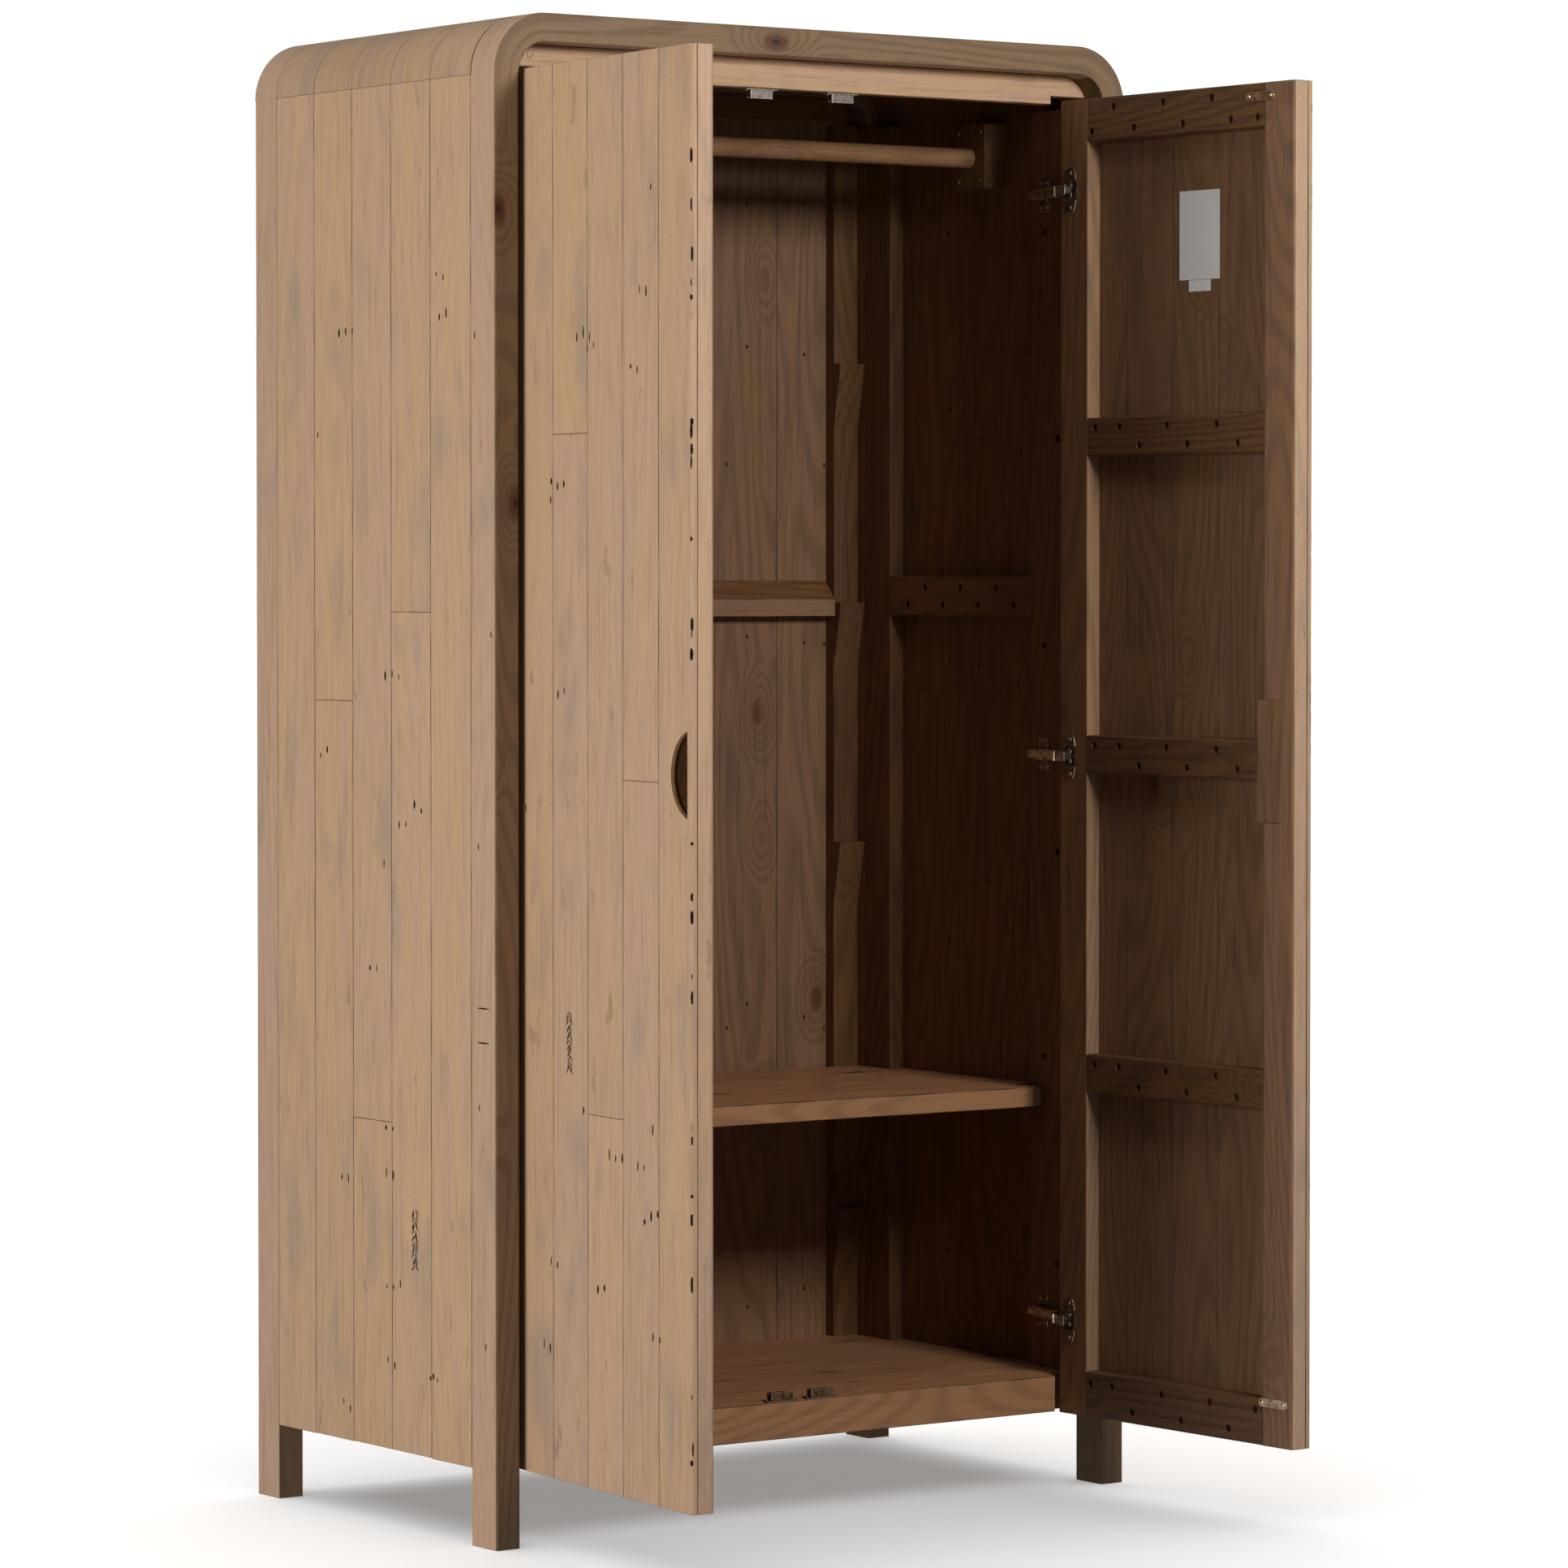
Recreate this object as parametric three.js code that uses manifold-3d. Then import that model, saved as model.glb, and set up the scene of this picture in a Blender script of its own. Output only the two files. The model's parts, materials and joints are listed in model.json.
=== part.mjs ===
// Two-door armoire: planked carcass with a rounded top, ratchet shelf posts, hanging rod and cup hinges.
// Millimetres, +Z up; the doors face -Y. Everything is drawn about the middle of the carcass, then
// moved back by CARCASS_Y: the origin lies on the floor under the middle of the whole, doors open.
// The doors are drawn closed on the left side and swung to the rest pose, in which both stand open.
import * as THREE from 'three';
import { mergeVertices } from 'three/addons/utils/BufferGeometryUtils.js';
import Module from 'manifold-3d';

const wasm = await Module();
wasm.setup();

// ---------- driving dimensions ----------
const WIDTH = 1040;
const DEPTH = 610;
const HEIGHT = 2000;
const LEG_FACE = 38; // width of a leg seen from the front
const LEG_DEPTH = 58; // depth of a leg seen from the side
const CORNER_RADIUS = 80; // outer radius of the rounded top
const PLANK = 20; // thickness of the wall planks
const ARRIS = 3; // rounding of the long outer edges
const FIT = 0.3; // gap left where two pieces only meet
const GLUE = 0.2; // glue line between the boards of a door
const CARCASS_Y = 218.61; // see the note on the origin above
const FLOOR_GAP = 101; // from the floor to the lower edge of the walls and doors
const BOTTOM_TOP = 152; // top face of the bottom board
const STOP_GAP = 0.4; // air between a closed door and its stops
const GROOVE = 1.6; // half width and depth of the V seam between planks

const DOOR_TOP = 1926.5;
const DOOR_THICKNESS = 34;
const DOOR_FACE = 10; // thickness of the face planks
const DOOR_RECESS = 4; // closed doors sit this far behind the front
const DOOR_SIDE_GAP = 3;
const DOOR_MIDDLE_GAP = 3;
const STILE = 59.5;
const DOOR_RAILS = { bottom: 63, top: 59.5 };
const BATTEN = 53;
const BATTEN_HEIGHTS = [578.5, 1020.5, 1459.5];
const DOOR_SEAMS = [116, 209.5, 303, 396];
const REST_OPENING = { left: 95, right: 93 }; // degrees open in the rest pose

const HINGE_HEIGHTS = { bottom: 232, middle: 1017, top: 1802 };
const CUP_SETBACK = 22.5; // from the hinge edge of the door to the cup and to the swing axis
const AXIS_DEPTH = 14; // from the front of the door to the swing axis
const CUP_RADIUS = 17.5;
const CUP_DEPTH = 12;
const CUP_WALL = 1.5;
const CUP_WINGS = { near: 10.5, far: 14.5, half: 31 }; // flange, measured from the axis and from the level
const KNUCKLE = { half: 4, rise: 5 }; // block that carries the link inside the cup
// curved link and curved tip of the arm on a closed door: radii and degrees about the swing axis
const LINK_RING = { near: 30, far: 33.5, from: 82.5, to: 130 };
const ARM_RING = { near: 34.5, far: 38, from: 38, to: 75 };
const BAR_RISE = 7; // half height of link and arm
// hinge arm: heights are measured from the face of the wall stile, front and back along y
const ARM_PLATE = { height: 2, front: -191, back: -161, half: 24 };
const ARM_BOSS = { height: 14, front: -186, back: -166, half: 8 };
const ARM_OUTER = [[4, -168], [16, -168], [31, -243]];
const ARM_INNER = [[23, -247]];

const PULL_STRAIGHT = 469; // straight side of the half-moon pull, from the hinge edge
const PULL_WIDTH = 42;
const PULL_HEIGHT = 109;
const PULL_LEVEL = 1021;
const PULL_DEPTH = 24;
const DOOR_ARRIS = 5; // rounding of the upright edges of a door
const HOLE = { radius: 3.8, depth: 6 }; // counterbores for the screws of the door rails
// rows of counterbores: height above the lower edge of the rail, distances from the hinge edge
const TOP_RAIL_HOLES = [[45, [113, 215, 313]], [14, [68, 155, 255, 351, 404]]];
const BOTTOM_RAIL_HOLES = [[47, [68, 113, 215, 313, 404]], [16, [155, 255, 351]]];
const BATTEN_HOLES = [[39.5, [75, 126, 223, 324]], [13.5, [167, 265, 366]]];
const BLOCK = { from: 404, to: 452, bottom: 937, top: 1102 };

const STILE_FACE = 475; // distance of the inner wall stiles from the middle
const STILE_BACK = -150; // rear edge of the front wall stile
const REAR_STILE = 184.5; // front edge of the rear wall stile
const WALL_BATTEN = { bottom: 1210, top: 1267 }; // between the two wall stiles
const WALL_PLANKS = 5;
const TOP_PLANKS = 9;
const BACK_PLANKS = 10;
const BOTTOM_THICKNESS = 50;
const LEDGES = [341, 521, 878, 1228, 1577]; // heights of the shelf ledges on the toothed strips
const LEDGE_DEPTH = 17;
const LEDGE_SLOPE = 95;
const FRONT_STRIP = 12; // thickness of the front toothed strips, which lie flat on the wall planks
const SHELF = { top: 549, thickness: 28, front: -188, back: 264, half: 466 };
const ROD = { radius: 14, y: -25, z: 1861, socket: 14 };
const ROD_BLOCK = { front: -61, back: 10, bottom: 1817, top: 1910, face: 460 };
const CATCH_MIDDLE = { top: 67, bottom: 33 }; // distance of each pair of catches from the middle
const CATCH_FOOT = { half: 25, near: 2, far: 16, height: 2 }; // near and far count from the door stop
const CATCH_CASE = { half: 18, near: 1.5, far: 19, height: 13.5 };

// ---------- derived dimensions ----------
const FRONT = -DEPTH / 2;
const BACK = DEPTH / 2;
const SIDE = WIDTH / 2;
const LEG_IN = SIDE - LEG_FACE;
const WALL_IN = SIDE - PLANK;
const FRAME_BACK = FRONT + LEG_DEPTH;
const BACK_FRAME = BACK - LEG_DEPTH;
const BACK_PANEL = BACK - PLANK;
const BEND = HEIGHT - CORNER_RADIUS; // height at which the rounded top starts
const BEND_X = SIDE - CORNER_RADIUS;
const INNER_RADIUS = CORNER_RADIUS - LEG_FACE;
const ARCH_TOP = HEIGHT - LEG_FACE;
const DOOR_FRONT = FRONT + DOOR_RECESS;
const DOOR_BACK = DOOR_FRONT + DOOR_THICKNESS;
const DOOR_WIDTH = LEG_IN - DOOR_SIDE_GAP - DOOR_MIDDLE_GAP / 2;
const HINGE_EDGE = -LEG_IN + DOOR_SIDE_GAP; // hinge edge of the closed left door
const AXIS_X = HINGE_EDGE + CUP_SETBACK;
const AXIS_Y = DOOR_FRONT + AXIS_DEPTH;
const STOP = DOOR_BACK + STOP_GAP;
const FREE_STILE = DOOR_WIDTH - STILE;
const STRIP_IN = 432; // inner face of the rear toothed strips
const STRIP_FRONT = BACK_PANEL - PLANK;
const BACK_RAIL = { bottom: 1925, middle: [1208, 1234, 1261] };
const FRONT_STRIP_TOP = 1815;
const STOP_END = 430; // half length of the front edge of the bottom board
const HEADER_BOTTOM = 1921;
const HEADER_NOTCH = { x: 420, z: 1932 };

// ---------- materials ----------
const paint = (color, roughness, metalness) =>
  new THREE.MeshStandardMaterial({ color, roughness, metalness });
const oldPine = paint(0xc4a68a, 0.8, 0);
const innerPine = paint(0x9b7355, 0.85, 0);
const hingeSteel = paint(0xb4aca4, 0.35, 0.9);
const bronze = paint(0x7b5f45, 0.4, 0.9);

// ---------- solids ----------
function solid(geometry) {
  const bare = geometry.clone();
  bare.deleteAttribute('normal');
  bare.deleteAttribute('uv');
  const whole = mergeVertices(bare, 1e-4);
  return new wasm.Manifold(new wasm.Mesh({
    numProp: 3,
    vertProperties: new Float32Array(whole.attributes.position.array),
    triVerts: new Uint32Array(whole.index.array),
  }));
}

function box(x, y, z) {
  const made = new THREE.BoxGeometry(x[1] - x[0], y[1] - y[0], z[1] - z[0]);
  made.translate((x[0] + x[1]) / 2, (y[0] + y[1]) / 2, (z[0] + z[1]) / 2);
  return solid(made);
}

function shapeOf(points) {
  const shape = new THREE.Shape();
  points.forEach(([a, b], i) => (i ? shape.lineTo(a, b) : shape.moveTo(a, b)));
  shape.closePath();
  return shape;
}

function sweep(shape, depth) {
  return new THREE.ExtrudeGeometry(shape, { depth, bevelEnabled: false, curveSegments: 12 });
}

// a plan outline (x, y) standing from z[0] to z[1]
function standing(shape, z) {
  const made = sweep(shape, z[1] - z[0]);
  made.translate(0, 0, z[0]);
  return solid(made);
}

// a front outline (x, z) reaching from y[0] to y[1]
function facing(shape, y) {
  const made = sweep(shape, y[1] - y[0]);
  made.rotateX(Math.PI / 2);
  made.translate(0, y[1], 0);
  return solid(made);
}

// a side outline (y, z) reaching from x[0] to x[1]
function sideways(shape, x) {
  const made = sweep(shape, x[1] - x[0]);
  made.rotateY(Math.PI / 2);
  made.rotateX(Math.PI / 2);
  made.translate(x[0], 0, 0);
  return solid(made);
}

// rectangle whose corners carry their own radii, in the order min-min, max-min, max-max, min-max
function rounded(x, y, radii) {
  const [a, b, c, d] = radii;
  const shape = new THREE.Shape();
  shape.moveTo(x[0] + a, y[0]);
  shape.lineTo(x[1] - b, y[0]);
  if (b) shape.absarc(x[1] - b, y[0] + b, b, -Math.PI / 2, 0, false);
  shape.lineTo(x[1], y[1] - c);
  if (c) shape.absarc(x[1] - c, y[1] - c, c, 0, Math.PI / 2, false);
  shape.lineTo(x[0] + d, y[1]);
  if (d) shape.absarc(x[0] + d, y[1] - d, d, Math.PI / 2, Math.PI, false);
  shape.lineTo(x[0], y[0] + a);
  if (a) shape.absarc(x[0] + a, y[0] + a, a, Math.PI, Math.PI * 1.5, false);
  return shape;
}

// cylinder along an axis ('x', 'y' or 'z') with its middle at the given point
function rod(axis, radius, length, at, segments = 32) {
  const made = new THREE.CylinderGeometry(radius, radius, length, segments);
  if (axis === 'x') made.rotateZ(Math.PI / 2);
  if (axis === 'z') made.rotateX(Math.PI / 2);
  made.translate(...at);
  return solid(made);
}

const join = (first, ...rest) => rest.reduce((sum, piece) => sum.add(piece), first);
const cut = (first, ...rest) => rest.reduce((sum, piece) => sum.subtract(piece), first);

// ---------- scene ----------
const armoire = new THREE.Group();
armoire.name = 'armoire';

function place(name, piece, material) {
  const { vertProperties, triVerts } = piece.translate([0, CARCASS_Y, 0]).getMesh();
  const geometry = new THREE.BufferGeometry();
  geometry.setAttribute('position', new THREE.BufferAttribute(new Float32Array(vertProperties), 3));
  geometry.setIndex(new THREE.BufferAttribute(new Uint32Array(triVerts), 1));
  geometry.computeVertexNormals();
  const mesh = new THREE.Mesh(geometry, material);
  mesh.name = name;
  armoire.add(mesh);
}

// a piece drawn on the left, and its mirror image on the right
function placePair(name, piece, material) {
  place(`left_${name}`, piece, material);
  place(`right_${name}`, piece.mirror([1, 0, 0]), material);
}

// swing a piece of the closed left door to the rest pose of that side
function swung(piece, degrees) {
  return piece.translate([-AXIS_X, -AXIS_Y, 0]).rotate([0, 0, -degrees]).translate([AXIS_X, AXIS_Y, 0]);
}

function placeOnDoors(name, piece, material) {
  place(`left_door_${name}`, swung(piece, REST_OPENING.left), material);
  place(`right_door_${name}`, swung(piece, REST_OPENING.right).mirror([1, 0, 0]), material);
}

// ---------- carcass ----------
function legs() {
  const outer = -SIDE;
  const inner = -LEG_IN;
  const z = [0, BEND];
  const front = rounded([outer, inner], [FRONT, FRAME_BACK], [ARRIS, ARRIS, 0, 0]);
  const back = rounded([outer, inner], [BACK_FRAME, BACK], [0, 0, ARRIS, ARRIS]);
  placePair('front_leg', standing(front, z), oldPine);
  placePair('back_leg', standing(back, z), oldPine);
}

// front outline between an outer and an inner rounded arch, both springing from BEND
function archOutline(radius, inner) {
  const shape = new THREE.Shape();
  shape.moveTo(-BEND_X - inner, BEND);
  shape.absarc(-BEND_X, BEND, inner, Math.PI, Math.PI / 2, true);
  shape.absarc(BEND_X, BEND, inner, Math.PI / 2, 0, true);
  shape.lineTo(BEND_X + radius, BEND);
  shape.absarc(BEND_X, BEND, radius, 0, Math.PI / 2, false);
  shape.absarc(-BEND_X, BEND, radius, Math.PI / 2, Math.PI, false);
  shape.closePath();
  return shape;
}

// the back arch carries a lip that covers the top of the back planks on the inside
function topFrames() {
  const outline = archOutline(CORNER_RADIUS, INNER_RADIUS);
  place('front_top_frame', facing(outline, [FRONT, FRAME_BACK]), oldPine);
  const lip = box([-STRIP_IN, STRIP_IN], [STRIP_FRONT, BACK_PANEL], [BACK_RAIL.bottom, ARCH_TOP + 1]);
  place('back_top_frame', join(facing(outline, [BACK_FRAME, BACK]), lip), oldPine);
}

function cornerMouldings() {
  const shape = new THREE.Shape();
  shape.moveTo(-BEND_X, HEIGHT);
  shape.absarc(-BEND_X, BEND, CORNER_RADIUS, Math.PI / 2, Math.PI, false);
  shape.lineTo(-WALL_IN, BEND);
  shape.absarc(-BEND_X, BEND, CORNER_RADIUS - PLANK, Math.PI, Math.PI / 2, true);
  shape.closePath();
  placePair('corner_moulding', facing(shape, [FRAME_BACK, BACK_FRAME]), oldPine);
}

// outline of a planked board: flat on the inside, V seams on the outside
function plankedOutline(along, thickness, seams) {
  const [face, inside] = thickness;
  const points = [[along[0], inside], [along[0], face]];
  for (const seam of seams) {
    points.push([seam - GROOVE, face], [seam, face + GROOVE], [seam + GROOVE, face]);
  }
  points.push([along[1], face], [along[1], inside]);
  return points;
}

function evenSeams(from, to, planks) {
  return Array.from({ length: planks - 1 }, (_, i) => from + ((to - from) * (i + 1)) / planks);
}

function walls() {
  const depth = [FRAME_BACK, BACK_FRAME];
  const sideSeams = evenSeams(FRAME_BACK, BACK_FRAME, WALL_PLANKS);
  const plan = plankedOutline(depth, [-SIDE, -WALL_IN], sideSeams).map(([y, x]) => [x, y]);
  placePair('side_panel', standing(shapeOf(plan), [FLOOR_GAP, BEND]), oldPine);
  const width = [-BEND_X, BEND_X];
  const topSeams = evenSeams(-BEND_X, BEND_X, TOP_PLANKS);
  const top = plankedOutline(width, [-HEIGHT, PLANK - HEIGHT], topSeams).map(([x, z]) => [x, -z]);
  place('top_panel', facing(shapeOf(top), depth), oldPine);
}

// two inner stiles and the cross batten between them, glued to the wall planks
function innerFrames() {
  const [front, back] = [STILE_BACK, REAR_STILE];
  const batten = WALL_BATTEN;
  const outline = shapeOf([
    [FRAME_BACK, FLOOR_GAP], [front, FLOOR_GAP], [front, batten.bottom], [back, batten.bottom],
    [back, FLOOR_GAP], [BACK_PANEL, FLOOR_GAP], [BACK_PANEL, BEND], [back, BEND],
    [back, batten.top], [front, batten.top], [front, BEND], [FRAME_BACK, BEND],
  ]);
  const legCorner = box([-SIDE, FIT - LEG_IN], [BACK_FRAME - FIT, BACK], [0, HEIGHT]);
  const stripNotch = box(
    [-SIDE, FRONT_STRIP + FIT - WALL_IN],
    [front, front + PLANK + LEDGE_DEPTH + FIT],
    [batten.bottom - 1, batten.top + 1],
  );
  const whole = sideways(outline, [-WALL_IN, -STILE_FACE]);
  placePair('inner_frame', cut(whole, legCorner, stripNotch), innerPine);
}

// board that fills the arch behind the doors; its ends are stepped up to clear the hinge edges
function header() {
  const radius = INNER_RADIUS - FIT;
  const lift = HEADER_NOTCH.z - BEND;
  const start = Math.asin(lift / radius);
  const shape = new THREE.Shape();
  shape.moveTo(-HEADER_NOTCH.x, HEADER_BOTTOM);
  shape.lineTo(HEADER_NOTCH.x, HEADER_BOTTOM);
  shape.lineTo(HEADER_NOTCH.x, HEADER_NOTCH.z);
  shape.lineTo(BEND_X + radius * Math.cos(start), HEADER_NOTCH.z);
  shape.absarc(BEND_X, BEND, radius, start, Math.PI / 2, false);
  shape.absarc(-BEND_X, BEND, radius, Math.PI / 2, Math.PI - start, false);
  shape.lineTo(-HEADER_NOTCH.x, HEADER_NOTCH.z);
  shape.closePath();
  place('header_board', facing(shape, [STOP, FRAME_BACK]), oldPine);
}

function bottomBoard() {
  const [front, back] = [STILE_BACK + FIT, REAR_STILE - FIT];
  const stile = STILE_FACE - FIT;
  const wall = WALL_IN - FIT;
  const half = [
    [STOP_END, STOP], [STOP_END, FRAME_BACK + FIT], [stile, FRAME_BACK + FIT], [stile, front],
    [wall, front], [wall, back], [stile, back], [stile, BACK_PANEL - FIT],
  ];
  const other = half.map(([x, y]) => [-x, y]).reverse();
  const z = [BOTTOM_TOP - BOTTOM_THICKNESS, BOTTOM_TOP];
  place('bottom_board', standing(shapeOf([...half, ...other]), z), innerPine);
}

// wider between the wall stiles, where its ends lie on the front ledges
function shelf() {
  const wide = WALL_IN - 3;
  const [front, back] = [STILE_BACK + PLANK + 1, REAR_STILE - 3];
  const half = [
    [SHELF.half, SHELF.front], [SHELF.half, front], [wide, front], [wide, back],
    [STILE_FACE - 3, back], [STILE_FACE - 3, SHELF.back],
  ];
  const other = half.map(([x, y]) => [-x, y]).reverse();
  const z = [SHELF.top - SHELF.thickness, SHELF.top];
  place('shelf', standing(shapeOf([...half, ...other]), z), innerPine);
}

// side outline of a toothed strip: flat back at y = base, ledges reaching out from y = face
function toothedOutline(base, face, top) {
  const out = Math.sign(face - base) * LEDGE_DEPTH;
  const points = [[base, BOTTOM_TOP], [face, BOTTOM_TOP]];
  for (const ledge of LEDGES) {
    points.push([face, ledge - LEDGE_SLOPE], [face + out, ledge], [face, ledge]);
  }
  points.push([face, top], [base, top]);
  return shapeOf(points);
}

function toothedStrips() {
  const rear = toothedOutline(BACK_PANEL, STRIP_FRONT, BACK_RAIL.bottom);
  placePair('rear_toothed_strip', sideways(rear, [-STILE_FACE, -STRIP_IN]), innerPine);
  const front = toothedOutline(STILE_BACK, STILE_BACK + PLANK, FRONT_STRIP_TOP);
  placePair('front_toothed_strip', sideways(front, [-WALL_IN, FRONT_STRIP - WALL_IN]), innerPine);
}

function hangingRod() {
  const { front, back, bottom, top, face } = ROD_BLOCK;
  const socket = rod('x', ROD.radius + FIT, 2 * ROD.socket, [-face, ROD.y, ROD.z]);
  const carrier = cut(box([-WALL_IN, -face], [front, back], [bottom, top]), socket);
  placePair('rod_block', carrier, innerPine);
  const length = 2 * (face + ROD.socket - 1);
  place('hanging_rod', rod('x', ROD.radius, length, [0, ROD.y, ROD.z]), innerPine);
}

function backWall() {
  const seams = evenSeams(-LEG_IN, LEG_IN, BACK_PLANKS);
  const radius = INNER_RADIUS - FIT;
  const shape = new THREE.Shape();
  shape.moveTo(-BEND_X - radius, FLOOR_GAP);
  shape.lineTo(BEND_X + radius, FLOOR_GAP);
  shape.absarc(BEND_X, BEND, radius, 0, Math.PI / 2, false);
  shape.absarc(-BEND_X, BEND, radius, Math.PI / 2, Math.PI, false);
  shape.closePath();
  const plan = shapeOf(plankedOutline([-LEG_IN + FIT, LEG_IN - FIT], [BACK_PANEL, BACK], seams));
  const planks = standing(plan, [FLOOR_GAP, ARCH_TOP]);
  place('back_panel', planks.intersect(facing(shape, [BACK_PANEL, BACK])), innerPine);
  const [low, edge, high] = BACK_RAIL.middle;
  const front = STRIP_FRONT - 5;
  const bevelled = shapeOf([[BACK_PANEL, low], [BACK_PANEL, high], [front, edge], [front, low]]);
  const reach = STRIP_IN - FIT;
  place('back_middle_rail', sideways(bevelled, [-reach, reach]), innerPine);
}

// magnetic catch: a case on a flat foot; level is the face it is screwed to, up the way it stands
function magnetCatch(middle, level, up) {
  const block = ({ half, near, far, height }) => box(
    [middle - half, middle + half],
    [STOP + near, STOP + far],
    [level + Math.min(0, height * up), level + Math.max(0, height * up)],
  );
  return join(block(CATCH_FOOT), block(CATCH_CASE));
}

function catches() {
  placePair('top_catch', magnetCatch(-CATCH_MIDDLE.top, HEADER_BOTTOM, -1), hingeSteel);
  placePair('bottom_catch', magnetCatch(-CATCH_MIDDLE.bottom, BOTTOM_TOP, 1), bronze);
}

// piece of a ring about the swing axis
function ringSector({ near, far, from, to }, z) {
  const [start, end] = [THREE.MathUtils.degToRad(from), THREE.MathUtils.degToRad(to)];
  const shape = new THREE.Shape();
  shape.absarc(AXIS_X, AXIS_Y, far, start, end, false);
  shape.absarc(AXIS_X, AXIS_Y, near, end, start, true);
  shape.closePath();
  return standing(shape, z);
}

// mounting plate on the wall stile, a boss on it, and the arm with its curved tip beside the cup link
function hingeArm(level) {
  const across = (half) => [level - half, level + half];
  const slab = (from, { height, front, back, half }) =>
    box([from - STILE_FACE, height - STILE_FACE], [front, back], across(half));
  const end = THREE.MathUtils.degToRad(ARM_RING.to - 1);
  const tip = (radius) => [AXIS_X + radius * Math.cos(end), AXIS_Y + radius * Math.sin(end)];
  const fromStile = ([height, y]) => [height - STILE_FACE, y];
  const outline = shapeOf([
    ...ARM_OUTER.map(fromStile),
    tip(ARM_RING.far),
    tip(ARM_RING.near),
    ...ARM_INNER.map(fromStile),
  ]);
  const rise = across(BAR_RISE);
  const mount = join(slab(0, ARM_PLATE), slab(1, ARM_BOSS));
  return join(mount, standing(outline, rise), ringSector(ARM_RING, rise));
}

// cup let into the stile, its winged flange, and the curved link that curls from it round the swing axis
function hingeCup(level) {
  const [floor, mouth] = [DOOR_BACK - CUP_DEPTH, DOOR_BACK + GLUE + CUP_WALL];
  const bore = (radius, from) =>
    rod('y', radius, mouth - from, [AXIS_X, (from + mouth) / 2, level]);
  const across = (half) => [level - half, level + half];
  const width = [AXIS_X - CUP_WINGS.near, AXIS_X + CUP_WINGS.far];
  const wings = box(width, [DOOR_BACK + GLUE, mouth], across(CUP_WINGS.half));
  const cup = cut(join(bore(CUP_RADIUS, floor), wings), bore(CUP_RADIUS - CUP_WALL, floor + CUP_WALL));
  const knuckle = box(
    [AXIS_X - KNUCKLE.half, AXIS_X + KNUCKLE.half],
    [floor + 0.5, AXIS_Y + LINK_RING.near + 1],
    across(KNUCKLE.rise),
  );
  return join(cup, knuckle, ringSector(LINK_RING, across(BAR_RISE)));
}

function hinges() {
  for (const [where, level] of Object.entries(HINGE_HEIGHTS)) {
    placePair(`${where}_hinge_arm`, hingeArm(level), hingeSteel);
    placeOnDoors(`${where}_hinge_cup`, hingeCup(level), hingeSteel);
  }
}

// ---------- doors ----------
const alongDoor = (from, to) => [HINGE_EDGE + from, HINGE_EDGE + to];
const frameDepth = [DOOR_FRONT + DOOR_FACE + GLUE, DOOR_BACK];

// half-moon recess through the face planks into the frame behind them
function pullCutter() {
  const half = PULL_HEIGHT / 2;
  const radius = (half * half + PULL_WIDTH * PULL_WIDTH) / (2 * PULL_WIDTH);
  const straight = HINGE_EDGE + PULL_STRAIGHT;
  const middle = straight - PULL_WIDTH + radius;
  const turn = Math.atan2(half, straight - middle);
  const shape = new THREE.Shape();
  shape.absarc(middle, PULL_LEVEL, radius, turn, 2 * Math.PI - turn, false);
  shape.closePath();
  return facing(shape, [DOOR_FRONT - 1, DOOR_FRONT + PULL_DEPTH]);
}

function doorFace() {
  const width = alongDoor(0, DOOR_WIDTH);
  const depth = [DOOR_FRONT, DOOR_FRONT + DOOR_FACE];
  const z = [FLOOR_GAP, DOOR_TOP];
  const seams = DOOR_SEAMS.map((seam) => HINGE_EDGE + seam);
  const planks = standing(shapeOf(plankedOutline(width, depth, seams)), z);
  const softened = standing(rounded(width, depth, [DOOR_ARRIS, DOOR_ARRIS, 0, 0]), z);
  placeOnDoors('face', cut(planks.intersect(softened), pullCutter()), oldPine);
}

function doorStiles() {
  const z = [FLOOR_GAP, DOOR_TOP];
  const hingeSide = standing(rounded(alongDoor(0, STILE), frameDepth, [0, 0, 0, DOOR_ARRIS]), z);
  const bores = Object.values(HINGE_HEIGHTS).map((level) =>
    rod('y', CUP_RADIUS + FIT, 2 * (CUP_DEPTH + FIT), [AXIS_X, DOOR_BACK, level]));
  placeOnDoors('hinge_stile', cut(hingeSide, ...bores), innerPine);

  const freeWidth = alongDoor(FREE_STILE, DOOR_WIDTH);
  const freeSide = standing(rounded(freeWidth, frameDepth, [0, 0, DOOR_ARRIS, 0]), z);
  const { from, to, bottom, top } = BLOCK;
  const seat = box(alongDoor(0, to + GLUE), [DOOR_FRONT, DOOR_BACK + 1], [bottom, top]);
  placeOnDoors('free_stile', cut(freeSide, seat, pullCutter()), innerPine);
  const backing = box(alongDoor(from, to), frameDepth, [bottom + GLUE, top - GLUE]);
  placeOnDoors('pull_block', cut(backing, pullCutter()), innerPine);
}

// board between the stiles, with counterbored holes along two rows in its back
function doorRail(name, bottom, height, end, rows) {
  const board = box(alongDoor(STILE + GLUE, end - GLUE), frameDepth, [bottom, bottom + height]);
  const bore = (along, level) =>
    rod('y', HOLE.radius, 2 * HOLE.depth, [HINGE_EDGE + along, DOOR_BACK, bottom + level], 12);
  const holes = rows.flatMap(([level, places]) => places.map((along) => bore(along, level)));
  placeOnDoors(name, cut(board, ...holes), innerPine);
}

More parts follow.
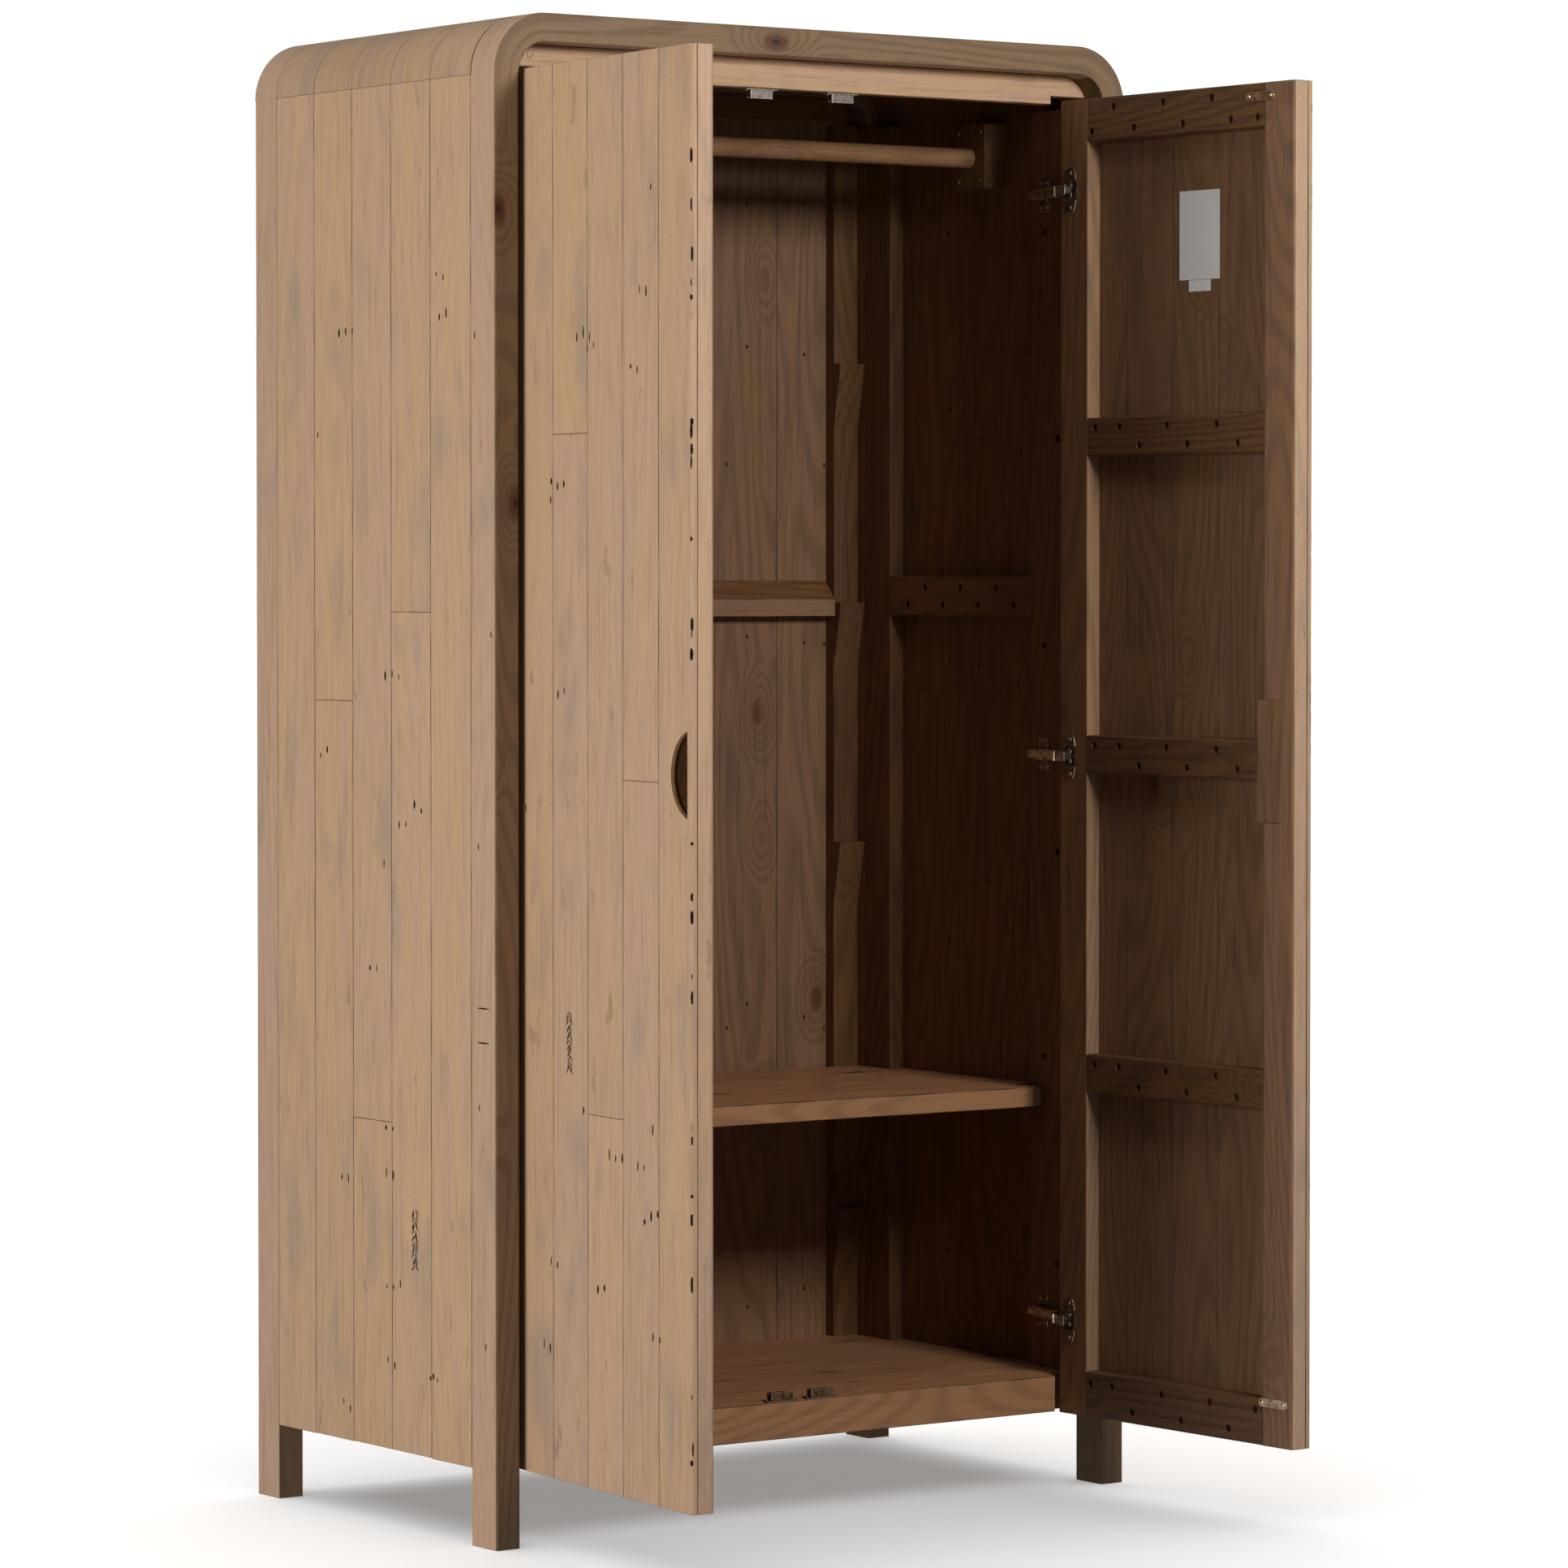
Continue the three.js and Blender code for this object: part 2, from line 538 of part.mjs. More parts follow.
function doorRails() {
  const { bottom, top } = DOOR_RAILS;
  doorRail('top_rail', DOOR_TOP - top, top, FREE_STILE, TOP_RAIL_HOLES);
  doorRail('bottom_rail', FLOOR_GAP, bottom, FREE_STILE, BOTTOM_RAIL_HOLES);
  BATTEN_HEIGHTS.forEach((middle, i) => {
    const end = i === 1 ? BLOCK.from : FREE_STILE;
    doorRail(`batten_${i + 1}`, middle - BATTEN / 2, BATTEN, end, BATTEN_HOLES);
  });
}

legs();
topFrames();
cornerMouldings();
walls();
innerFrames();
header();
bottomBoard();
shelf();
toothedStrips();
hangingRod();
backWall();
catches();
hinges();
doorFace();
doorStiles();
doorRails();

export default armoire;
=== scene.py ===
"""Looks of a two-door planked pine armoire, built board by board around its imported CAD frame.
Metres, +Z up, doors towards -Y. Left-hand pieces are drawn and the right-hand ones mirrored."""
import json
import math
import random

import bmesh
import bpy
from mathutils import Matrix, Vector, noise

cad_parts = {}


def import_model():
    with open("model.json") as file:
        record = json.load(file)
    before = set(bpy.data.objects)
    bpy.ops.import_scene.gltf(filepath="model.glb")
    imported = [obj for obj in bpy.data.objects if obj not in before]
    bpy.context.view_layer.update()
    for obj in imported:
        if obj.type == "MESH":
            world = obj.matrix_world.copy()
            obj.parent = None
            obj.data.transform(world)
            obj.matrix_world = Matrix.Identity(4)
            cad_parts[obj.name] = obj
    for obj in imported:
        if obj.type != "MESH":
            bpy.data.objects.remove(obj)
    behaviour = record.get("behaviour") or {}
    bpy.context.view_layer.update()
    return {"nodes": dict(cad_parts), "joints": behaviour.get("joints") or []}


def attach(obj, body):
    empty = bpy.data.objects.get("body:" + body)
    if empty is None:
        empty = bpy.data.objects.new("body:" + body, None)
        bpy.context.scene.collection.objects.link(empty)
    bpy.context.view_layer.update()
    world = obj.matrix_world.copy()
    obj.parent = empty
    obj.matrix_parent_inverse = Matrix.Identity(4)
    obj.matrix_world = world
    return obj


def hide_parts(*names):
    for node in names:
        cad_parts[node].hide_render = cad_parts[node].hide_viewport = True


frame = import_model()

MM = 0.001
X, Y, Z = 0, 1, 2

# ---------- driving dimensions of the details ----------
PLANK_GAP = 0.12 * MM  # air between two neighbouring planks
SEAM_ROUND = 0.75 * MM  # softened plank edges, which make the seams
BOARD_ROUND = 1.6 * MM
END_ROUND = 0.7 * MM
SUPPORT = 1.3 * MM  # width of the band along an edge that carries its rubbing and painted seam shade
RING_STEP = 0.06  # distance between two sections of a board
WOBBLE = 0.5 * MM  # how much a hand-worn edge wanders
BROAD_WEAR_AND_SHADE = 0.3  # how dark a broad rounding gets beside a plank seam; the darkening is partly grime and partly painted shade
SIDE_PLANKS = 5
BACK_PLANKS = 7
DOOR_SEAMS = (0.116, 0.2095, 0.303, 0.396)  # from the hinge edge
NAIL_DEPTH = 4 * MM
CUP_RADIUS = 17.5 * MM
LEG_ROUND = 3.2 * MM
FRAME_TONE = (-0.5, -3.0)
# Darkening of the frame's front faces: partly stain, partly painted shade on the shaded leg fronts.
FRAME_FRONT_STAIN_AND_SHADE = 0.70
FRAME_OFFSET = Vector((3.1, -4.7, 1.3))
LEDGES = (0.341, 0.521, 0.878, 1.228, 1.577)
LEDGE_SLOPE = 0.095
# heights of the butt joints, by plank from a wall's front or a door's hinge, to the centimetre
SIDE_JOINTS = {1: (1.22,), 2: (0.54,), 3: (1.10,)}
DOOR_JOINTS = {1: (1.45,), 2: (0.58,), 3: (1.01,)}
SIDE_SCUFF = (0.14, 0.39)  # distance behind the front edge, height
DOOR_SCUFF = (0.16, 0.67)  # distance from the hinge edge, height
SCUFF_DEPTH = 2.2 * MM
NAIL_GROUPS = 18
NAIL_STEP = 17 * MM
NAIL_MARGIN = 40 * MM
THIN_ROUND = 1.2 * MM  # edges of the frame that meet a panel
PANEL_AIR = 0.3 * MM  # between a board and the arch that holds it
EAR = ((14.5, -11), (20, -9), (26, -7), (30, -3), (31, 3), (30, 8), (26, 11), (20, 12.5), (14.5, 14))
LINK = {"near": 30.2 * MM, "far": 33.3 * MM, "from": 83, "to": 129}
ARM_TIP = {"near": 34.7 * MM, "far": 37.8 * MM, "from": 39, "to": 74}
PULL = {"straight": 0.469, "wide": 0.042, "tall": 0.109, "depth": 0.024, "level": 1.021}
ARRIS = 5 * MM
HINGE_LEVELS = ("bottom", "middle", "top")
WALL_BATTEN = (1.210, 1.267)  # lower and upper edge
REAR_STILE_PLACE = 0.4315  # behind the front of the inner frame
HEADER_NOTCH = (0.420, 1.932)
INNER_NAIL_LEVELS = (0.30, 0.42, 0.75, 0.83, 1.13, 1.45, 1.52, 1.74)
INNER_NAIL_PLACES = (0.06, 0.10, 0.16, 0.24, 0.33)
BACK_NAIL_LEVELS = (0.20, 0.62, 1.19, 1.42, 1.60, 1.80)
SCUFF_ROWS = 15
SCUFF_PITCH = 5.2 * MM
# screws of the door's rails and battens: height from an edge or the middle, places from the hinge edge, in mm
TOP_RAIL_SCREWS = ((-14.5, (113, 215, 313)), (-45.5, (68, 155, 255, 351, 404)))
BOTTOM_RAIL_SCREWS = ((47, (68, 113, 215, 313, 404)), (16, (155, 255, 351)))
BATTEN_SCREWS = ((13, (75, 126, 223, 324)), (-13, (167, 265, 366)))
LABELS = ((0.223, 0.304, 1.670, 1.791), (0.242, 0.286, 1.654, 1.6695))  # from the hinge edge, height
WHITE = (1, 1, 1, 1)
LIGHTS = (  # name, place, aim, size, watts, color
    ("key", (-5.0, -0.8, 1.25), (0, 0, 1.05), (2.4, 2.6), 158, (1, 1, 1)),
    ("front", (0.15, -3.4, 2.65), (0, 0, 1.1), (0.9, 0.8), 78, (1, 1, 1)),
    ("top", (-0.8, 0.2, 5.5), (0, 0.2, 0), (3.0, 3.0), 45, (0.88, 0.94, 1.0)),
    ("right_rim", (5.0, 1.2, 1.9), (0, 0.2, 1.0), (2.6, 2.6), 130, (1, 1, 1)),
    ("back_rim", (1.2, 5.5, 2.0), (0, 0.4, 1.0), (2.6, 2.6), 130, (1, 1, 1)),
)
SUN_POWER = 2.8
SUN_ANGLE = 108
BACKDROP = 1.05
CAMERA_PLACE = (-4.7613, -6.7199, 1.2739)
CAMERA_YAW = 35.32
CAMERA_PITCH = -1.44
CAMERA_LENS = 139.4
CAMERA_SHIFT_Y = -0.0383
FLOOR_GLOW = 0.27
FLOOR_REACH = 80.0
AMBIENT = 0.075

# ---------- places ----------
HERE = Matrix.Identity(4)
MIRROR = Matrix.Scale(-1, 4, Vector((1, 0, 0)))
INWARD = Vector((1, 0, 0))  # from the left wall
REARWARD = Vector((0, 1, 0))
UP = Vector((0, 0, 1))
HINGES = {joint["child"]: joint for joint in frame["joints"]}
PIN = Vector(HINGES["left_door"]["pos_m"])


def swing(side):
    """Turns a piece of the closed left door to where it stands at rest, unmirrored."""
    at_pin = Matrix.Translation(PIN)
    angle = math.radians(HINGES[f"{side}_door"]["range_deg"][0])
    return at_pin @ Matrix.Rotation(angle, 4, "Z") @ at_pin.inverted()


SIDES = ("left", "right")
CARCASS = {"left": HERE, "right": MIRROR}
DOOR = {"left": swing("left"), "right": MIRROR @ swing("right")}


class Span:
    """Box of a CAD node; door nodes are measured with the left door swung shut."""

    def __init__(self, node):
        shut = DOOR["left"].inverted() if node.startswith("left_door") else HERE
        points = [shut @ v.co for v in frame["nodes"][node].data.vertices]
        self.lo = Vector(min(p[i] for p in points) for i in range(3))
        self.hi = Vector(max(p[i] for p in points) for i in range(3))
        self.mid = (self.lo + self.hi) / 2
        self.size = self.hi - self.lo


# ---------- mesh building ----------
class Piece:
    """Gathers boards into one mesh. Every corner carries its grain place, its board's tone and its edge
    darkening: rubbing and grime along edges, and painted shade in the seams.
    """

    def __init__(self, name):
        self.name = name
        self.random = random.Random(name)
        self.points, self.faces, self.corners = [], [], []

    def new_tone(self, spread=1.0):
        return self.random.gauss(0, 0.5) * spread, self.random.gauss(0, 0.5) * spread

    def new_offset(self):
        return Vector(self.random.uniform(-9, 9) for _ in range(3))

    def add(self, points, faces, edge_wear_and_shade, along=Z, grain=None, tone=None, offset=None, stain=0.0):
        """edge_wear_and_shade: a number per face corner, for edge rubbing and painted seam shade; stain: a
        number, or a function of a face's place and normal: staining, and on the frame also painted shade.
        """
        light, warm = tone or self.new_tone()
        offset = offset or self.new_offset()
        if grain is None:
            grain = [Vector((p[(along + 1) % 3], p[(along + 2) % 3], p[along])) for p in points]
        elif callable(grain):
            grain = [grain(p) for p in points]
        first = len(self.points)
        self.points += points
        for face, worn_and_shaded in zip(faces, edge_wear_and_shade):
            a, b, c = (points[face[i]] for i in (0, len(face) // 3, 2 * len(face) // 3))
            normal = (b - a).cross(c - a).normalized()
            dark = stain(a, normal) if callable(stain) else stain
            self.faces.append([first + i for i in face])
            self.corners += [(grain[i] + offset, (light, warm, dark), w) for i, w in zip(face, worn_and_shaded)]

    def loft(self, rings, edge_wear_and_shade, **look):
        """Closed skin through equal rings of points that turn anticlockwise round their way of travel."""
        count = len(rings[0])
        points = [p for ring in rings for p in ring]
        worn_and_shaded = [w for ring in edge_wear_and_shade for w in ring]
        faces = [list(range(count))[::-1]]
        for i in range(len(rings) - 1):
            for j in range(count):
                k = (j + 1) % count
                faces.append([i * count + j, i * count + k, (i + 1) * count + k, (i + 1) * count + j])
        faces.append([(len(rings) - 1) * count + j for j in range(count)])
        self.add(points, faces, [[worn_and_shaded[i] for i in face] for face in faces], **look)

    def board(self, lo, hi, along=Z, radii=BOARD_ROUND, end=END_ROUND, wobble=WOBBLE, end_wear_and_shade=1.0, **look):
        """Straight board whose four long edges have their own radii, counted round from low-low."""
        u, v = (along + 1) % 3, (along + 2) % 3
        radii = [radii] * 4 if isinstance(radii, float) else radii
        seed = self.random.uniform(0, 99)
        inner = max(2, int((hi[along] - lo[along]) / RING_STEP))
        turns = [math.radians(t) for t in (0, 45, 90)]
        start = [(lo[along] + end * (1 - math.cos(t)), end * (1 - math.sin(t)), end_wear_and_shade * (1 - t / 2))
                 for t in turns]
        finish = [(lo[along] + hi[along] - w, inset, worn_and_shaded) for w, inset, worn_and_shaded in start[::-1]]
        low, high = lo[along] + end + SUPPORT, hi[along] - end - SUPPORT
        middle = [(low + (high - low) * i / inner, 0.0, 0.0) for i in range(inner + 1)]
        rings, edge_wear_and_shade = [], []
        for w, inset, worn_and_shaded in start + middle + finish:
            ring, ring_wear_and_shade = [], []
            for pu, pv, rub_and_shade, corner in section(lo[u], hi[u], lo[v], hi[v], radii, inset):
                dent = noise.noise(Vector((w * 9, seed, corner * 3.7))) + 0.35
                shift = wobble * max(0.0, dent) * rub_and_shade
                place = Vector((0, 0, 0))
                place[u] = pu + shift * (1 if corner in (0, 3) else -1)
                place[v] = pv + shift * (1 if corner in (0, 1) else -1)
                place[along] = w
                ring.append(place)
                ring_wear_and_shade.append(max(rub_and_shade, worn_and_shaded))
            rings.append(ring)
            edge_wear_and_shade.append(ring_wear_and_shade)
        self.loft(rings, edge_wear_and_shade, along=along, **look)

    def prism(self, outline, axis, low, high, bevel=BOARD_ROUND, segments=2, **look):
        """Outline in the two other axes, in cyclic order, standing from low to high along axis."""
        bm = bmesh.new()
        a, b = (axis + 1) % 3, (axis + 2) % 3
        area = sum(p[0] * q[1] - q[0] * p[1] for p, q in zip(outline, outline[1:] + outline[:1]))
        loop = outline if area > 0 else outline[::-1]
        rows = []
        for level in (low, high):
            row = []
            for p in loop:
                place = [0, 0, 0]
                place[a], place[b], place[axis] = p[0], p[1], level
                row.append(bm.verts.new(place))
            rows.append(row)
        bm.faces.new(rows[0][::-1])
        bm.faces.new(rows[1])
        for i in range(len(loop)):
            j = (i + 1) % len(loop)
            bm.faces.new((rows[0][i], rows[0][j], rows[1][j], rows[1][i]))
        bm.normal_update()
        soft = set()
        if bevel:
            sharp = [e for e in bm.edges if e.calc_face_angle() > math.radians(25)]
            made = bmesh.ops.bevel(bm, geom=sharp, offset=bevel, segments=segments, profile=0.5,
                                   affect="EDGES", clamp_overlap=True)
            soft = set(made["faces"])
        self.take(bm, soft, **look)

    def take(self, bm, soft=(), **look):
        """Adds the faces of a bmesh; those in soft count as darkened edges, for edge rubbing and painted seam
        shade.
        """
        bm.verts.index_update()
        points = [v.co.copy() for v in bm.verts]
        faces = [[v.index for v in f.verts] for f in bm.faces]
        edge_wear_and_shade = [[1.0 if f in soft else 0.0] * len(f.verts) for f in bm.faces]
        bm.free()
        self.add(points, faces, edge_wear_and_shade, **look)

    def lathe(self, profile, centre, axis, count=24, **look):
        """Profile of (radius, distance) pairs turned about an axis through centre."""
        a, b = (axis + 1) % 3, (axis + 2) % 3
        rings = []
        for radius, distance in profile:
            ring = []
            for k in range(count):
                angle = 2 * math.pi * k / count
                place = Vector(centre)
                place[a] += radius * math.cos(angle)
                place[b] += radius * math.sin(angle)
                place[axis] += distance
                ring.append(place)
            rings.append(ring)
        self.loft(rings, [[0.3] * count for _ in rings], along=axis, **look)

    def build(self, matrix, material, body, slot=None, replaces=(), cutter=None):
        mesh = self.to_mesh(matrix)
        mesh.materials.append(material)
        piece = bpy.data.objects.new(self.name, mesh)
        bpy.context.scene.collection.objects.link(piece)
        if cutter:
            carve(piece, cutter)
        piece.data.set_sharp_from_angle(angle=math.radians(48))
        weighted = piece.modifiers.new("even_shading", "WEIGHTED_NORMAL")
        weighted.keep_sharp = True
        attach(piece, body)
        if replaces:
            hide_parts(*replaces)
        return piece

    def to_mesh(self, matrix):
        flip = matrix.determinant() < 0
        mesh = bpy.data.meshes.new(self.name)
        faces = [face[::-1] if flip else face for face in self.faces]
        mesh.from_pydata([matrix @ p for p in self.points], [], faces)
        corners, start = [], 0
        for face in self.faces:
            row = self.corners[start:start + len(face)]
            corners += row[::-1] if flip else row
            start += len(face)
        layers = (("grain", "FLOAT_VECTOR", "vector", 0), ("tone", "FLOAT_VECTOR", "vector", 1),
                  ("edge_wear_and_shade", "FLOAT", "value", 2))
        for name, kind, key, column in layers:
            layer = mesh.attributes.new(name, kind, "CORNER")
            for item, corner in zip(layer.data, corners):
                setattr(item, key, corner[column])
        mesh.shade_smooth()
        return mesh


def section(u0, u1, v0, v1, radii, inset):
    """Rounded rectangle as (u, v, edge darkening, corner), with a support point each side of every corner;
    the darkening stands for edge rubbing and painted seam shade.
    """
    corners = ((u0, v0, 1, 1, 180), (u1, v0, -1, 1, 270), (u1, v1, -1, -1, 0), (u0, v1, 1, -1, 90))
    points = []
    for k, (cu, cv, su, sv, start) in enumerate(corners):
        radius = max(radii[k] - inset, 0.05 * MM)
        full = 1.0 if radii[k] < 1.0 * MM else BROAD_WEAR_AND_SHADE
        centre = (cu + su * (radius + inset), cv + sv * (radius + inset))
        steps = 5 if radii[k] > 2.5 * MM else 3
        spread = [math.radians(start + 90 * i / steps) for i in range(steps + 1)]
        first, last = spread[0], spread[-1]
        points.append((centre[0] + radius * math.cos(first) + SUPPORT * math.sin(first),
                       centre[1] + radius * math.sin(first) - SUPPORT * math.cos(first), 0.0, k))
        for i, turn in enumerate(spread):
            worn_and_shaded = full * (0.5 if i in (0, steps) else 1.0)
            points.append((centre[0] + radius * math.cos(turn), centre[1] + radius * math.sin(turn),
                           worn_and_shaded, k))
        points.append((centre[0] + radius * math.cos(last) - SUPPORT * math.sin(last),
                       centre[1] + radius * math.sin(last) + SUPPORT * math.cos(last), 0.0, k))
    return points


def carve(piece, cutter):
    """Cuts the cutter's solids, which may overlap, out of the piece; cut faces keep its material."""
    cut = piece.modifiers.new("cut", "BOOLEAN")
    cut.operation = "DIFFERENCE"
    cut.solver = "EXACT"
    cut.use_self = True
    cut.material_mode = "TRANSFER"
    cut.object = cutter
    bpy.context.view_layer.update()
    result = piece.evaluated_get(bpy.context.evaluated_depsgraph_get())
    mesh = bpy.data.meshes.new_from_object(result)
    piece.modifiers.remove(cut)
    old = piece.data
    piece.data = mesh
    bpy.data.meshes.remove(old)
    bpy.data.objects.remove(cutter)


def cutter_from(piece, matrix, material):
    """A Piece turned into a plain object that only carves."""
    mesh = piece.to_mesh(matrix)
    mesh.materials.append(material)
    tool = bpy.data.objects.new(piece.name, mesh)
    bpy.context.scene.collection.objects.link(tool)
    return tool


# ---------- materials ----------
def srgb(*levels):
    return tuple((c / 255 / 12.92) if c < 10 else ((c / 255 + 0.055) / 1.055) ** 2.4 for c in levels) + (1,)


class Graph:
    """Short way to wire a node material."""

    def __init__(self, name):
        self.material = bpy.data.materials.new(name)
        self.material.use_nodes = True
        self.tree = self.material.node_tree
        self.shader = self.tree.nodes["Principled BSDF"]

    def node(self, kind, inputs, **settings):
        made = self.tree.nodes.new(kind)
        for key, value in settings.items():
            setattr(made, key, value)
        for key, value in inputs.items():
            self.put(made.inputs[key], value)
        return made

    def put(self, socket, value):
        if isinstance(value, bpy.types.NodeSocket):
            self.tree.links.new(value, socket)
        else:
            socket.default_value = value

    def attribute(self, name, output="Vector"):
        return self.node("ShaderNodeAttribute", {}, attribute_name=name).outputs[output]

    def stretch(self, vector, *factors):
        return self.node("ShaderNodeVectorMath", {0: vector, 1: factors}, operation="MULTIPLY").outputs[0]

    def noise(self, vector, detail=2.0, roughness=0.5):
        inputs = {"Vector": vector, "Scale": 1.0, "Detail": detail, "Roughness": roughness}
        return self.node("ShaderNodeTexNoise", inputs).outputs["Fac"]

    def math(self, operation, a, b=0.0):
        return self.node("ShaderNodeMath", {0: a, 1: b}, operation=operation).outputs[0]

    def ramp(self, value, low, high, to_low=0.0, to_high=1.0):
        inputs = {"Value": value, "From Min": low, "From Max": high, "To Min": to_low, "To Max": to_high}
        return self.node("ShaderNodeMapRange", inputs, interpolation_type="SMOOTHSTEP").outputs[0]

    def mix(self, factor, a, b, blend="MIX"):
        made = self.node("ShaderNodeMix", {0: factor}, data_type="RGBA", blend_type=blend)
        self.put(made.inputs[6], a)
        self.put(made.inputs[7], b)
        return made.outputs[2]

    def finish(self, color, roughness, bumps, metallic=0.0, specular=0.5):
        """bumps is a list of (height, strength, distance) laid one over the other."""
        self.put(self.shader.inputs["Base Color"], color)
        self.put(self.shader.inputs["Roughness"], roughness)
        self.shader.inputs["Metallic"].default_value = metallic
        self.shader.inputs["Specular IOR Level"].default_value = specular
        normal = None
        for height, strength, distance in bumps:
            inputs = {"Height": height, "Strength": strength, "Distance": distance}
            if normal:
                inputs["Normal"] = normal
            normal = self.node("ShaderNodeBump", inputs).outputs[0]
        self.put(self.shader.inputs["Normal"], normal)
        return self.material


def pine():
    """Reclaimed pine: bleached on the outside, stained brown where the tone says so, which on the frame also
    paints shade; seams and edges darken with grime and painted shade.
    """
    g = Graph("reclaimed_pine")
    grain = g.attribute("grain")
    tone = g.node("ShaderNodeSeparateXYZ", {0: g.attribute("tone")}).outputs
    light, warm, stain = tone[0], tone[1], tone[2]
    edge_wear_and_shade = g.attribute("edge_wear_and_shade", "Fac")

    # knots sit in some cells of a Voronoi grid and push the grain aside; the bleached outside hides them
    cells = g.node("ShaderNodeTexVoronoi", {"Vector": g.stretch(grain, 9, 9, 5), "Scale": 1.0}).outputs
    lottery = g.node("ShaderNodeSeparateColor", {0: cells["Color"]}).outputs[0]
    chosen = g.math("MULTIPLY", g.ramp(lottery, 0.60, 0.62), g.ramp(stain, 0.0, 0.6, 0.12, 1.0))
    knot = g.math("MULTIPLY", g.ramp(cells["Distance"], 0.13, 0.07), chosen)
    halo = g.math("MULTIPLY", g.ramp(cells["Distance"], 0.42, 0.04), chosen)
    eye = g.math("MULTIPLY", g.ramp(cells["Distance"], 0.05, 0.02), chosen)

    drift = g.math("SUBTRACT", g.noise(g.stretch(grain, 9, 9, 3.5)), 0.5)
    aside = g.node("ShaderNodeCombineXYZ", {0: g.math("MULTIPLY", drift, 0.010)}).outputs[0]
    bent = g.node("ShaderNodeVectorMath", {0: grain, 1: aside}, operation="ADD").outputs[0]

    # contour lines of a long, soft field are the cathedral figure of flat-sawn boards
    field = g.noise(g.stretch(bent, 6.0, 6.0, 0.75), 1.0)
    field = g.math("ADD", field, g.math("MULTIPLY", halo, 0.16))
    figure = g.math("SINE", g.math("MULTIPLY", field, 160.0))
    figure = g.ramp(figure, -0.4, 1.0)
    fine = g.noise(g.stretch(bent, 820, 820, 26), 3.0, 0.65)
    streak = g.noise(g.stretch(bent, 230, 230, 6.5), 3.0, 0.6)
    broad = g.noise(g.stretch(bent, 30, 30, 3.2), 2.0)
    cloud = g.noise(g.stretch(grain, 13, 13, 6), 3.0)

    hue = g.ramp(g.math("ADD", broad, g.math("MULTIPLY", warm, 0.2)), 0.25, 0.75)
    outer = g.mix(hue, srgb(195, 160, 132), srgb(200, 163, 123))
    outer = g.mix(g.ramp(streak, 0.50, 0.72, 0, 0.5), outer, srgb(163, 130, 104))
    outer = g.mix(g.ramp(cloud, 0.54, 0.72, 0, 0.5), outer, srgb(160, 139, 124))
    inner = g.mix(hue, srgb(118, 78, 48), srgb(122, 84, 44))
    inner = g.mix(g.ramp(streak, 0.48, 0.74, 0, 0.75), inner, srgb(76, 47, 29))
    inner = g.mix(g.ramp(cloud, 0.58, 0.75, 0, 0.25), inner, srgb(96, 72, 58))
    inner = g.mix(g.ramp(warm, 1.5, 3.0), inner, srgb(152, 92, 48))
    inner = g.mix(g.ramp(warm, -1.5, -3.0), inner, srgb(110, 85, 52))
    color = g.mix(stain, outer, inner)

    strong = g.ramp(stain, 0.0, 0.7, 0.12, 0.52)
    lines = g.math("ADD", g.math("MULTIPLY", figure, strong), g.math("MULTIPLY", fine, 0.9))
    shade = g.ramp(lines, 0.2, 1.2, 1.10, 0.80)
    shade = g.math("ADD", shade, g.math("MULTIPLY", light, 0.045))
    white = g.node("ShaderNodeCombineColor", {0: shade, 1: shade, 2: shade}).outputs[0]
    color = g.mix(1.0, color, white, "MULTIPLY")
    color = g.mix(g.math("MULTIPLY", halo, 0.25), color, srgb(106, 64, 36))
    color = g.mix(g.math("MULTIPLY", knot, 0.75), color, srgb(86, 46, 24))
    color = g.mix(g.math("MULTIPLY", eye, 0.8), color, srgb(34, 20, 12))

    specks = g.ramp(g.noise(g.stretch(grain, 900, 900, 170), 1.0), 0.71, 0.78, 0, 0.55)
    color = g.mix(specks, color, srgb(78, 52, 36))
    smudge = g.ramp(g.noise(g.stretch(grain, 42, 42, 13), 4.0, 0.65), 0.62, 0.74)
    smudge = g.math("MULTIPLY", smudge, g.ramp(stain, 0.0, 1.0, 0.42, 0.12))
    color = g.mix(smudge, color, srgb(104, 86, 76))
    # Seams, board ends and rounded edges darken towards brown-black: partly grime from use, partly painted
    # shade standing in for the shade in the seams' creases.
    patchy_wear_and_shade = g.ramp(g.noise(g.stretch(grain, 60, 60, 14), 2.0), 0.35, 0.65, 0.4, 0.95)
    seam = g.math("MULTIPLY", g.math("POWER", edge_wear_and_shade, 1.5), patchy_wear_and_shade)
    color = g.mix(seam, color, srgb(50, 34, 25))

    roughness = g.ramp(g.math("ADD", fine, streak), 0.7, 1.4, 0.55, 0.78)
    bumps = [(streak, 0.25, 0.6 * MM), (lines, 0.3, 0.35 * MM), (specks, 0.5, -0.5 * MM)]
    return g.finish(color, roughness, bumps, specular=0.35)


def hole_dark():
    g = Graph("nail_hole")
    grain = g.attribute("grain")
    rust = g.noise(g.stretch(grain, 400, 400, 400), 2.0)
    color = g.mix(g.ramp(rust, 0.4, 0.65), srgb(20, 15, 12), srgb(48, 32, 24))
    return g.finish(color, g.ramp(rust, 0.3, 0.7, 0.75, 0.95), [(rust, 0.4, 0.3 * MM)], specular=0.2)


